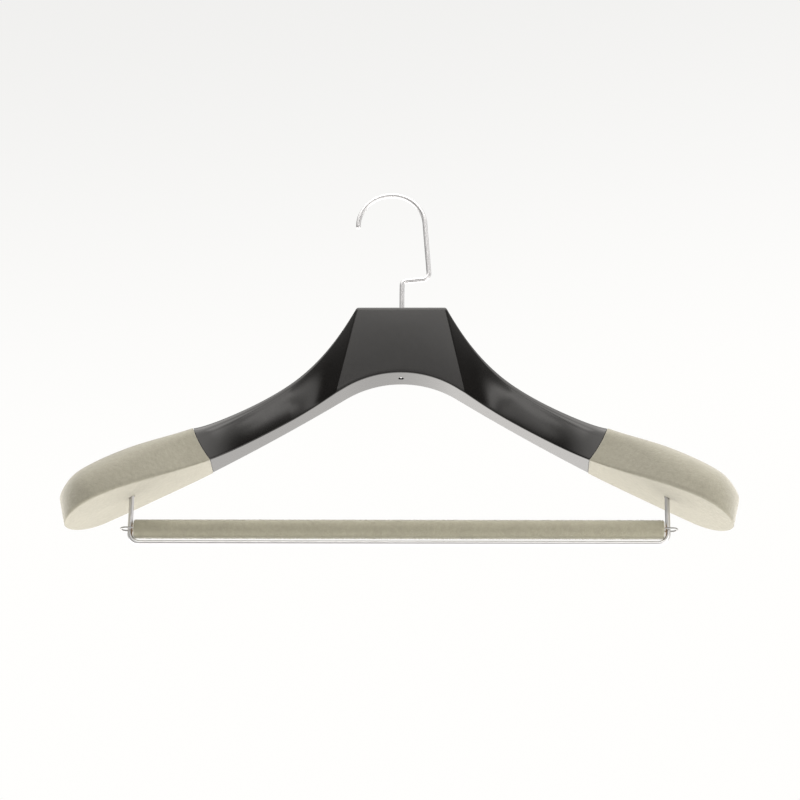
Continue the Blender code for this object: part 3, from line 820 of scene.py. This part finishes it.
@once("pile_surface")
def pile_group(name):
    """The look of short velvet pile: its speckled color and the height of its tufts."""
    group, given, out = new_group(name, "ShaderNodeTree", (
        ("Vector", "NodeSocketVector", None),
        ("Color", "NodeSocketColor", None),
        ("Tuft Size", "NodeSocketFloat", 0.0007),
        ("Speckle", "NodeSocketFloat", 0.2),
        ("Brushing", "NodeSocketFloat", 0.1),
    ), COLOR_AND_HEIGHT)
    scale = calc(group, "DIVIDE", 1.0, given.outputs["Tuft Size"])
    tufts, clumps, brushed = [
        noise(group, given.outputs["Vector"], calc(group, "MULTIPLY", scale, share),
              roughness=roughness) for share, roughness in PILE_LAYERS]
    speckled, clumped, swept = [
        calc(group, "MULTIPLY", calc(group, "SUBTRACT", layer, NOISE_MIDDLE),
             given.outputs[amount])
        for layer, amount in ((tufts, "Speckle"), (clumps, "Speckle"), (brushed, "Brushing"))]
    factor = calc(group, "ADD", calc(group, "ADD", speckled, clumped), swept)
    color = vector_calc(group, "SCALE", given.outputs["Color"],
                        calc(group, "ADD", factor, 1.0))
    group.links.new(color, out.inputs["Color"])
    height = calc(group, "ADD", tufts, calc(group, "MULTIPLY", clumps, CLUMP_HEIGHT))
    group.links.new(height, out.inputs["Height"])


@once("wood_grain")
def grain_group(name):
    """Wood grain along one axis of the piece."""
    group, given, out = new_group(name, "ShaderNodeTree", (
        ("Vector", "NodeSocketVector", None),
        ("Color", "NodeSocketColor", None),
        ("Ring Size", "NodeSocketFloat", 0.0012),
    ), COLOR_AND_HEIGHT)
    stretched = vector_calc(group, "MULTIPLY", given.outputs["Vector"], GRAIN_STRETCH)
    scale = calc(group, "DIVIDE", 1.0, given.outputs["Ring Size"])
    lines = noise(group, stretched, scale, detail=4.0, roughness=0.6)
    pores = noise(group, stretched, calc(group, "MULTIPLY", scale, PORE_SCALE))
    factor = calc(group, "ADD", calc(group, "MULTIPLY", lines, LINE_SHARE),
                  calc(group, "MULTIPLY", pores, PORE_SHARE))
    color = vector_calc(group, "SCALE", given.outputs["Color"],
                        calc(group, "ADD", factor, GRAIN_FLOOR))
    group.links.new(color, out.inputs["Color"])
    group.links.new(lines, out.inputs["Height"])


# Materials

LACQUER_ROUGHNESS = 0.14
STREAK_SQUEEZE = 8.0          # along the piece's Z axis
STREAK_DEPTH, PLAIN_DEPTH = 0.000012, 0.000003


def new_material(name, base, roughness, metallic=0.0):
    """A new material's tree, its shader and the piece's own coordinates."""
    material = bpy.data.materials.new(name)
    material.use_nodes = True
    material.diffuse_color = (*base, 1.0)
    tree = material.node_tree
    shader = tree.nodes["Principled BSDF"]
    shader.inputs["Base Color"].default_value = (*base, 1.0)
    shader.inputs["Roughness"].default_value = roughness
    shader.inputs["Metallic"].default_value = metallic
    return tree, shader, tree.nodes.new("ShaderNodeTexCoord").outputs["Object"]


def use(tree, group, **inputs):
    node = tree.nodes.new("ShaderNodeGroup")
    node.node_tree = group
    for title, value in inputs.items():
        give(tree, node.inputs[title.replace("_", " ")], value)
    return node


def bumped(tree, shader, height, distance, strength=1.0):
    node = tree.nodes.new("ShaderNodeBump")
    node.inputs["Distance"].default_value = distance
    node.inputs["Strength"].default_value = strength
    tree.links.new(height, node.inputs["Height"])
    tree.links.new(node.outputs[0], shader.inputs["Normal"])


def uneven_roughness(tree, shader, where, size, amount, middle):
    value = use(tree, mottle_group(), Vector=where, Size=size, Amount=amount)
    tree.links.new(calc(tree, "MULTIPLY", value.outputs[0], middle),
                   shader.inputs["Roughness"])


def lacquer_material(name, base):
    tree, shader, where = new_material(name, base, LACQUER_ROUGHNESS)
    shader.inputs["IOR"].default_value = 1.5
    uneven_roughness(tree, shader, where, size=0.004, amount=0.10, middle=LACQUER_ROUGHNESS)
    peel = noise(tree, where, scale=420.0, detail=1.0)
    bumped(tree, shader, peel, distance=0.000005)


def velvet_material(name, base):
    tree, shader, where = new_material(name, base, roughness=0.95)
    shader.inputs["Specular IOR Level"].default_value = 0.08
    shader.inputs["Sheen Weight"].default_value = 0.80
    shader.inputs["Sheen Roughness"].default_value = 0.5
    shader.inputs["Sheen Tint"].default_value = (1.0, 0.98, 0.92, 1.0)
    pile = use(tree, pile_group(), Vector=where, Color=(*base, 1.0), Tuft_Size=0.0008,
               Speckle=0.30, Brushing=0.14)
    tree.links.new(pile.outputs["Color"], shader.inputs["Base Color"])
    bumped(tree, shader, pile.outputs["Height"], distance=0.00022, strength=0.8)


def metal_material(name, base, roughness, streaked):
    """A metal with faint unevenness, which is drawn out into fine brushing if streaked."""
    tree, shader, where = new_material(name, base, roughness, metallic=1.0)
    uneven_roughness(tree, shader, where, size=0.005, amount=0.18, middle=roughness)
    squeezed = vector_calc(tree, "MULTIPLY", where,
                           (1.0, 1.0, STREAK_SQUEEZE if streaked else 1.0))
    lines = noise(tree, squeezed, scale=900.0, roughness=0.6)
    bumped(tree, shader, lines, distance=STREAK_DEPTH if streaked else PLAIN_DEPTH)


def wood_material(name, base):
    tree, shader, where = new_material(name, base, roughness=0.65)
    grain = use(tree, grain_group(), Vector=where, Color=(*base, 1.0), Ring_Size=0.0012)
    tree.links.new(grain.outputs["Color"], shader.inputs["Base Color"])
    bumped(tree, shader, grain.outputs["Height"], distance=0.00005, strength=0.6)


# Each finish: what makes it, its color, and a metal's roughness and whether it is streaked
FINISHES = {
    "gloss_black_lacquer": (lacquer_material, "lacquer"),
    "shoulder_velvet": (velvet_material, "arm_velvet"),
    "sleeve_velvet": (velvet_material, "bar_velvet"),
    "chrome_wire": (metal_material, "chrome", 0.40, False),
    "dull_steel": (metal_material, "steel", 0.36, True),
    "turned_brass": (metal_material, "brass", 0.28, True),
    "pale_wood": (wood_material, "wood"),
}


def finish(name):
    """The finish of that name, made when it is first wanted."""
    if name not in bpy.data.materials:
        make, base, *values = FINISHES[name]
        make(name, getattr(settings().finish, base), *values)
    return bpy.data.materials[name]

# The pieces

def hook_path():
    """The middle of the wire from the tip round the arc and down to the shank's end."""
    s = settings().hook
    middle = Vector((-s.offset, 0.0, s.rise))
    angles = [s.tip_angle + a for a in sweep(s.side_lean - s.tip_angle, ARC_STEPS)]
    points = [middle + s.radius * Vector((math.cos(a), 0.0, math.sin(a))) for a in angles]
    down = Vector((math.sin(s.side_lean), 0.0, -math.cos(s.side_lean)))
    inner = Vector((0.0, 0.0, s.crank_height))
    slope = math.tan(s.crank_slope)
    run = (points[-1].z - s.crank_height - slope * points[-1].x) / (slope * down.x - down.z)
    outer = points[-1] + down * run
    end = Vector((0.0, 0.0, -settings().arms.neck_height + s.end_depth))
    points = rounded_start(points, s.wire / 2)
    points += fillet(points[-1], outer, inner, s.outer_bend)
    points += fillet(outer, inner, end, s.inner_bend)
    points.append(end)
    points = rounded_start(points[::-1], s.wire / 2)[::-1]
    return placed(points)


class HANGER_OT_hook(bpy.types.Operator):
    """Make the polished wire hook with its rounded tip and cranked shank"""
    bl_idname = "hanger.make_hook"
    bl_label = "Hook"

    def execute(self, context):
        chrome = finish("chrome_wire")
        hook = wire_piece("polished_hook", hook_path(), settings().hook.wire / 2, chrome,
                          rounded=1.0)
        settle(hook, "swivel_hook", chrome, ["hook"])
        return {"FINISHED"}


def neck_holes():
    """The holes inside the neck: the bore, and the seats of the bush, collar and dowels."""
    hook, arms, fittings = settings().hook, settings().arms, settings().fittings
    bore = hook.wire / 2 + RUNNING_GAP
    bush = bore + fittings.bush_wall
    collar = -arms.neck_height + fittings.collar_rise
    half = fittings.collar_height / 2 + POCKET_GAP
    dowel_y = (bush + arms.neck_thickness / 2) / 2
    reach = fittings.dowel_length / 2 + FIT_GAP
    holes = [
        (bore, (0.0, 0.0, -arms.neck_height - CUT_MARGIN), (0.0, 0.0, CUT_MARGIN)),
        (bush + FIT_GAP, (0.0, 0.0, -fittings.bush_length - 2 * FIT_GAP),
         (0.0, 0.0, CUT_MARGIN)),
        (fittings.collar / 2 + POCKET_GAP, (0.0, 0.0, collar - half),
         (0.0, 0.0, collar + half)),
    ]
    for y in (-dowel_y, dowel_y):
        holes.append((fittings.dowel / 2 + FIT_GAP, (-reach, y, -fittings.dowel_depth),
                      (reach, y, -fittings.dowel_depth)))
    return [(radius, *placed((Vector(start), Vector(end)))) for radius, start, end in holes]


def leg_hole(shape, side):
    radius = settings().hook.wire / 2 + FIT_GAP
    top = shape.underside(shape.leg_x) + settings().frame.leg_insert + FIT_GAP
    low = Vector((side * shape.leg_x, shape.leg_middle(), shape.frame_height()))
    return (radius, *placed((low, Vector((low.x, low.y, top)))))


def sharpen_crease(mesh, shape, side):
    """Marks the edges along the fold between the neck's face and its flank."""
    foot, top = shape.foot(shape.face_foot), shape.line[0]
    way = (top - foot).normalized()
    across = Vector((way.y, -way.x))
    middle = shape.rear(shape.face_foot) - shape.thickness(shape.face_foot) / 2
    near = set()
    for vertex in mesh.vertices:
        local = vertex.co - place()
        flat = Vector((side * local.x, local.z))
        if local.y < middle and abs((flat - foot).dot(across)) < CREASE_REACH:
            near.add(vertex.index)
    for edge in mesh.edges:
        if edge.vertices[0] in near and edge.vertices[1] in near:
            edge.use_edge_sharp = True


class HANGER_OT_arms(bpy.types.Operator):
    """Make the two lacquered arms, which meet at the middle of the neck"""
    bl_idname = "hanger.make_arms"
    bl_label = "Arms"

    def execute(self, context):
        shape = ArmShape()
        velvet = settings().velvet
        rebate = velvet.thickness + FIT_GAP - velvet.proud
        hidden = shape.velvet_sections(settings().arms.cuff_x, -rebate, HIDDEN_SECTIONS)
        for name, side in SIDES:
            rings = [shape.ring(section, side) for section in shape.wood_sections()]
            rings += [shape.ring(section, side, -rebate) for section in hidden]
            arm = skinned(name + "_lacquered_arm", [placed(ring) for ring in rings],
                          capped=True)
            carve(arm, neck_holes() + [leg_hole(shape, side)])
            shade(arm)
            sharpen_crease(arm.data, shape, side)
            settle(arm, "hanger", finish("gloss_black_lacquer"),
                   [name + "_arm"])
        return {"FINISHED"}


def cover_rings(shape, side):
    """The rings of one velvet cover: up its inside, round its cut edge and back outside."""
    velvet, start = settings().velvet, settings().arms.cuff_x + FIT_GAP
    outer, inner = velvet.proud, velvet.proud - velvet.thickness
    inside = [shape.ring(section, side, inner)
              for section in shape.velvet_sections(start, inner, HIDDEN_SECTIONS)]
    rim = []
    for a in sweep(QUARTER, RIM_STEPS):
        x = start + velvet.rim * (1 - math.cos(a))
        grow = outer - velvet.rim * (1 - math.sin(a))
        rim.append(shape.ring(shape.velvet_section(x), side, grow))
    face = [shape.ring(section, side, outer)
            for section in shape.velvet_sections(start + 2 * velvet.rim, outer, VELVET_SECTIONS)]
    return [[placed(ring) for ring in rings] for rings in (inside[::-1], rim, face)]


class HANGER_OT_velvet(bpy.types.Operator):
    """Make the two velvet covers of the shoulder ends, with their pile"""
    bl_idname = "hanger.make_velvet"
    bl_label = "Velvet Covers"

    def execute(self, context):
        shape, material = ArmShape(), finish("shoulder_velvet")
        for name, side in SIDES:
            inside, rim, face = cover_rings(shape, side)
            cover = skinned(name + "_velvet_shoulder", inside + rim + face)
            carve(cover, [leg_hole(shape, side)])
            shade(cover)
            settle(cover, "hanger", material, [name + "_velvet_cover"])
            pile_piece(name + "_velvet_pile", rim + face, side, "hanger",
                       material)
        return {"FINISHED"}


class HANGER_OT_frame(bpy.types.Operator):
    """Make the wire frame that hangs under the arms"""
    bl_idname = "hanger.make_frame"
    bl_label = "Wire Frame"

    def execute(self, context):
        shape, s = ArmShape(), settings().frame
        y, low = shape.leg_middle(), shape.frame_height()
        top = shape.underside(shape.leg_x) + s.leg_insert
        left, right = [
            (Vector((side * shape.leg_x, y, top)), Vector((side * shape.leg_x, y, low)))
            for _, side in SIDES]
        points = [left[0], *fillet(left[0], left[1], right[1], s.bend),
                  *fillet(left[1], right[1], right[0], s.bend), right[0]]
        chrome = finish("chrome_wire")
        wire = wire_piece("trouser_bar_frame", placed(points), settings().hook.wire / 2,
                          chrome)
        settle(wire, "hanger", chrome, ["bar_frame_wire"])
        return {"FINISHED"}


def bar_sizes(shape):
    """The bar's half length, its end rounding, its mouth's radius and its middle."""
    s, wire = settings().frame, settings().hook.wire / 2
    half_length = shape.leg_x - wire - s.bar_gap
    mouth = (s.eye_width + s.eye_wire) / 2 + s.eye_wire / 2 + FIT_GAP
    rounding = min(s.bar_round, s.bar / 2 - mouth - MOUTH_RIM)
    bend_x, bend_z = shape.leg_x - s.bend, shape.frame_height() + s.bend
    round_x = half_length - rounding
    reach = s.bend - wire - rounding - FIT_GAP
    sunk = math.sqrt(reach ** 2 - max(round_x - bend_x, 0.0) ** 2)
    height = bend_z - sunk - rounding + s.bar / 2
    middle = Vector((0.0, shape.leg_middle(), height)) + place()
    return half_length, rounding, mouth, middle


def turned_rings(profile, middle):
    """Rings round the X axis from (radius, x) pairs."""
    around = sweep(2 * math.pi, ROUND_STEPS)[:-1]
    return [[middle + Vector((x, radius * math.cos(a), radius * math.sin(a)))
             for a in around] for radius, x in profile]


class HANGER_OT_bar(bpy.types.Operator):
    """Make the trouser bar's velvet sleeve, with its pile and rounded ends"""
    bl_idname = "hanger.make_bar"
    bl_label = "Trouser Bar"

    def execute(self, context):
        s, material = settings().frame, finish("sleeve_velvet")
        half_length, rounding, mouth, middle = bar_sizes(ArmShape())
        radius, inside = s.bar / 2, s.bar / 2 - s.sleeve
        wall = half_length - s.sleeve
        end = [(radius - rounding * (1 - math.cos(a)), half_length - rounding * (1 - math.sin(a)))
               for a in sweep(QUARTER, BAR_END_STEPS)]
        body = [(radius, (half_length - rounding) * (i / BAR_STEPS * 2 - 1))
                for i in range(1, BAR_STEPS)]
        outside = [(r, -x) for r, x in end[::-1]] + body + end
        bore = [(mouth, half_length), (mouth, wall), (inside, wall),
                (inside, -wall), (mouth, -wall), (mouth, -half_length)]
        sleeve = skinned("velvet_bar_sleeve", turned_rings(outside + bore, middle),
                         closed=True)
        shade(sleeve)
        settle(sleeve, "trouser_bar", material, ["bar_velvet_sleeve"])
        pile_piece("bar_velvet_pile", turned_rings(outside, middle), BAR_SEED_STEP,
                   "trouser_bar", material)
        return {"FINISHED"}


class HANGER_OT_eyes(bpy.types.Operator):
    """Make the two wire loops that hold the bar to the frame's legs"""
    bl_idname = "hanger.make_eyes"
    bl_label = "Bar Eyes"

    def execute(self, context):
        shape, s = ArmShape(), settings().frame
        half_length, _, _, middle = bar_sizes(shape)
        steel = finish("dull_steel")
        half = (s.eye_width + s.eye_wire) / 2
        bend_x = shape.leg_x + s.eye_reach - half
        for name, side in SIDES:
            inner_x = side * (half_length - s.eye_insert)
            points = [Vector((inner_x, -half, 0.0))]
            for a in sweep(math.pi, 2 * BEND_STEPS):
                points.append(Vector((side * (bend_x + half * math.sin(a)),
                                      -half * math.cos(a), 0.0)))
            points.append(Vector((inner_x, half, 0.0)))
            eye = wire_piece(name + "_bar_loop", [point + middle for point in points],
                             s.eye_wire / 2, steel, sides=EYE_SIDES)
            settle(eye, "trouser_bar", steel, [name + "_bar_eye"])
        return {"FINISHED"}


CARRIED_OVER = {
    "hook_bush": "turned_brass",
    "hook_collar": "dull_steel",
    "front_dowel": "pale_wood",
    "rear_dowel": "pale_wood",
    "bar_core": "pale_wood",
}


class HANGER_OT_fittings(bpy.types.Operator):
    """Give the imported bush, collar, dowels and bar core their finishes"""
    bl_idname = "hanger.finish_fittings"
    bl_label = "Inner Fittings"

    def execute(self, context):
        for node, name in CARRIED_OVER.items():
            for held in frame["nodes"][node].material_slots:
                held.material = finish(name)
        return {"FINISHED"}


# The studio

@once("soft_window")
def window_group(name):
    """1 where an angle is near a middle, falling softly to 0 beyond a half width."""
    group, given, out = new_group(name, "ShaderNodeTree", (
        ("Angle", "NodeSocketFloat", 0.0),
        ("Middle", "NodeSocketFloat", 0.0),
        ("Half Width", "NodeSocketFloat", 10.0),
        ("Softness", "NodeSocketFloat", 5.0),
    ), (("Mask", "NodeSocketFloat"),))
    away = calc(group, "ABSOLUTE",
                calc(group, "SUBTRACT", given.outputs["Angle"], given.outputs["Middle"]))
    edge = calc(group, "ADD", given.outputs["Half Width"], given.outputs["Softness"])
    mask = between(group, away, given.outputs["Half Width"], edge, 1.0, 0.0)
    group.links.new(mask, out.inputs["Mask"])


def window(tree, value, middle, half_width, softness):
    return use(tree, window_group(), Angle=value, Middle=middle, Half_Width=half_width,
               Softness=softness).outputs[0]


BRIGHTEST = 10.0              # what white stands for in a profile's ramp


def profile(tree, degrees, stops):
    """Brightness by angle, easing between (degrees, brightness) stops."""
    ramp = tree.nodes.new("ShaderNodeValToRGB")
    ramp.color_ramp.interpolation = "EASE"
    elements = ramp.color_ramp.elements
    for i, (at, bright) in enumerate(stops):
        position = (at + 90.0) / 180.0
        element = elements[i] if i < 2 else elements.new(position)
        element.position = position
        grey = bright / BRIGHTEST
        element.color = (grey, grey, grey, 1.0)
    height = calc(tree, "DIVIDE", calc(tree, "ADD", degrees, 90.0), 180.0)
    tree.links.new(height, ramp.inputs[0])
    return calc(tree, "MULTIPLY", ramp.outputs[0], BRIGHTEST)


# Brightness by elevation, in degrees: ahead of the hanger and behind it
FRONT_LIGHT = (
    (-90.0, 2.6), (-62.0, 1.7), (-36.0, 0.65), (-12.0, 0.4), (4.0, 0.3), (12.0, 0.14),
    (20.0, 0.10), (27.0, 0.12), (31.0, 0.4), (34.0, 1.0), (40.0, 1.8), (46.0, 2.3),
    (54.0, 2.4), (64.0, 2.4), (78.0, 3.0), (90.0, 3.0),
)
REAR_LIGHT = (
    (-90.0, 2.6), (-72.0, 3.2), (-9.0, 2.8), (2.0, 1.0), (12.0, 0.45), (22.0, 0.35),
    (40.0, 0.4), (60.0, 1.6), (78.0, 3.0), (90.0, 3.0),
)
# Soft boxes: azimuth, elevation, half width, half height, softness, brightness.
# The one below 0 is a dark board, which takes light away.
SOFT_BOXES = (
    (-2.2, 19.0, 6.0, 4.0, 10.0, 0.60),
    (-1.7, 28.0, 8.0, 3.0, 4.0, 0.4),
    (-1.7, 31.0, 4.0, 3.0, 2.5, 2.2),
    (-1.7, 54.0, 12.0, 6.0, 12.0, 1.8),
    (3.3, 22.0, 1.5, 4.0, 3.5, 2.0),
    (-8.7, 21.0, 3.5, 5.0, 4.0, 0.95),
    (-62.0, 20.0, 12.0, 8.0, 10.0, 0.7),
    (62.0, 20.0, 12.0, 8.0, 10.0, 0.7),
    (105.0, 22.0, 22.0, 14.0, 12.0, 0.6),
    (-148.0, 22.0, 24.0, 14.0, 12.0, -0.6),
)
DARKEST = 0.02                # the light is held at this where a dark board takes it away


def studio_light(tree):
    """The brightness of the studio's soft boxes in each direction from the object."""
    way = tree.nodes.new("ShaderNodeTexCoord").outputs["Generated"]
    x, y, z = plug(tree, "ShaderNodeSeparateXYZ", Vector=way).outputs
    to_degrees = 180.0 / math.pi
    rise = calc(tree, "MULTIPLY", calc(tree, "ARCSINE", z), to_degrees)
    from_front = calc(tree, "ARCTAN2", x, calc(tree, "MULTIPLY", y, -1.0))
    from_front = calc(tree, "MULTIPLY", from_front, to_degrees)
    from_rear = calc(tree, "MULTIPLY", calc(tree, "ARCTAN2", x, y), to_degrees)
    forward = window(tree, from_front, middle=0.0, half_width=85.0, softness=35.0)
    front = profile(tree, rise, FRONT_LIGHT)
    rear_tilt = between(tree, from_rear, low=-40.0, high=40.0, to_low=1.12, to_high=0.84)
    rear = calc(tree, "MULTIPLY", profile(tree, rise, REAR_LIGHT), rear_tilt)
    light = calc(tree, "ADD", calc(tree, "MULTIPLY", front, forward),
                 calc(tree, "MULTIPLY", rear, calc(tree, "SUBTRACT", 1.0, forward)))
    for azimuth, elevation, half_width, half_height, softness, bright in SOFT_BOXES:
        box = calc(tree, "MULTIPLY",
                   window(tree, from_front, azimuth, half_width, softness),
                   window(tree, rise, elevation, half_height, softness))
        light = calc(tree, "ADD", light, calc(tree, "MULTIPLY", box, bright))
    return calc(tree, "MAXIMUM", light, DARKEST), way


BACKDROP_SLANT = -0.12        # how far the backdrop's fading leans sideways


def studio_world(backdrop, light_color):
    world = bpy.data.worlds.new("studio")
    world.use_nodes = True
    tree = world.node_tree
    background = tree.nodes["Background"]
    light, way = studio_light(tree)
    parts = plug(tree, "ShaderNodeSeparateXYZ", Vector=way)
    slant = calc(tree, "MULTIPLY", parts.outputs["X"], BACKDROP_SLANT)
    height = calc(tree, "ADD", parts.outputs["Z"], slant)
    fading = between(tree, height, low=0.35, high=0.55, to_low=1.0, to_high=0.87)
    shown = vector_calc(tree, "SCALE", backdrop, fading)
    lit = vector_calc(tree, "SCALE", light_color, light)
    seen = tree.nodes.new("ShaderNodeLightPath").outputs["Is Camera Ray"]
    mix = tree.nodes.new("ShaderNodeMix")
    mix.data_type = "VECTOR"
    for title, value in (("Factor", seen), ("A", lit), ("B", shown)):
        socket = next(i for i in mix.inputs if i.name == title and i.enabled)
        tree.links.new(value, socket)
    given = next(o for o in mix.outputs if o.enabled)
    tree.links.new(given, background.inputs["Color"])
    return world


def near_soft_box(s):
    """A square soft box low on the right, near enough to fade across the object."""
    data = bpy.data.lights.new("near_soft_box", "AREA")
    data.shape = "SQUARE"
    data.size = s.near_box_size
    data.energy = s.near_box_power
    data.color = s.light_color
    box = bpy.data.objects.new("near_soft_box", data)
    box.location = s.near_box
    aim = Vector(s.target) - Vector(s.near_box)
    box.rotation_mode = "QUATERNION"
    box.rotation_quaternion = aim.to_track_quat("-Z", "Y")
    bpy.context.scene.collection.objects.link(box)


class HANGER_OT_stage(bpy.types.Operator):
    """Make the pale floor, the soft studio light and the camera"""
    bl_idname = "hanger.make_stage"
    bl_label = "Stage"

    def execute(self, context):
        s = settings().stage
        scene = context.scene
        half = s.floor_size
        mesh = bpy.data.meshes.new("pale_floor")
        mesh.from_pydata([(-half, -half, -s.floor_drop), (half, -half, -s.floor_drop),
                          (half, half, -s.floor_drop), (-half, half, -s.floor_drop)],
                         [], [(0, 1, 2, 3)])
        floor = new_piece("pale_floor", mesh)
        tree, shader, where = new_material("floor_paper", s.floor_color, roughness=0.8)
        uneven_roughness(tree, shader, where, size=0.3, amount=0.05, middle=0.8)
        mesh.materials.append(bpy.data.materials["floor_paper"])
        floor.visible_diffuse = floor.visible_glossy = floor.visible_shadow = False
        scene.world = studio_world(s.backdrop, s.light_color)
        scene.view_settings.view_transform = "Standard"
        near_soft_box(s)
        camera = bpy.data.objects.new("camera", bpy.data.cameras.new("camera"))
        scene.collection.objects.link(camera)
        camera.data.lens = s.lens
        camera.data.clip_start, camera.data.clip_end = 0.01, 100.0
        level = math.cos(s.elevation)
        back = Vector((math.sin(s.azimuth) * level, -math.cos(s.azimuth) * level,
                       math.sin(s.elevation)))
        camera.location = Vector(s.target) + back * s.distance
        look = (-back).to_track_quat("-Z", "Y")
        camera.rotation_mode = "QUATERNION"
        camera.rotation_quaternion = look @ Quaternion((0.0, 0.0, 1.0), s.roll)
        scene.camera = camera
        return {"FINISHED"}


OPERATORS = (
    HANGER_OT_stage, HANGER_OT_hook, HANGER_OT_arms, HANGER_OT_velvet, HANGER_OT_frame,
    HANGER_OT_bar, HANGER_OT_eyes, HANGER_OT_fittings,
)


class HANGER_PT_panel(bpy.types.Panel):
    """Lists the pieces of the hanger and the stage"""
    bl_idname = "HANGER_PT_panel"
    bl_label = "Velvet Hanger"
    bl_space_type = "VIEW_3D"
    bl_region_type = "UI"
    bl_category = "Hanger"

    def draw(self, context):
        for operator in OPERATORS:
            self.layout.operator(operator.bl_idname)


class HangerSettings(bpy.types.PropertyGroup):
    hook: PointerProperty(type=HookSettings, name="Hook", description="The hook's sizes")
    arms: PointerProperty(type=ArmSettings, name="Arms", description="The arms' sizes")
    fittings: PointerProperty(type=FittingSettings, name="Fittings",
                              description="The sizes of what is inside the neck")
    velvet: PointerProperty(type=VelvetSettings, name="Velvet",
                            description="The velvet's sizes")
    frame: PointerProperty(type=FrameSettings, name="Frame",
                           description="The sizes of the wire frame and the bar")
    finish: PointerProperty(type=FinishSettings, name="Finish", description="The colors")
    stage: PointerProperty(type=StageSettings, name="Stage", description="Floor and camera")


SETTINGS = (
    HookSettings, ArmSettings, FittingSettings, VelvetSettings, FrameSettings,
    FinishSettings, StageSettings, HangerSettings,
)


def register():
    for kind in SETTINGS + OPERATORS + (HANGER_PT_panel,):
        bpy.utils.register_class(kind)
    bpy.types.Scene.velvet_hanger = PointerProperty(type=HangerSettings)


def unregister():
    del bpy.types.Scene.velvet_hanger
    for kind in reversed(SETTINGS + OPERATORS + (HANGER_PT_panel,)):
        bpy.utils.unregister_class(kind)


def main():
    register()
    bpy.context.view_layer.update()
    for operator in OPERATORS:
        group, name = operator.bl_idname.split(".")
        getattr(getattr(bpy.ops, group), name)()


if __name__ == "__main__":
    main()
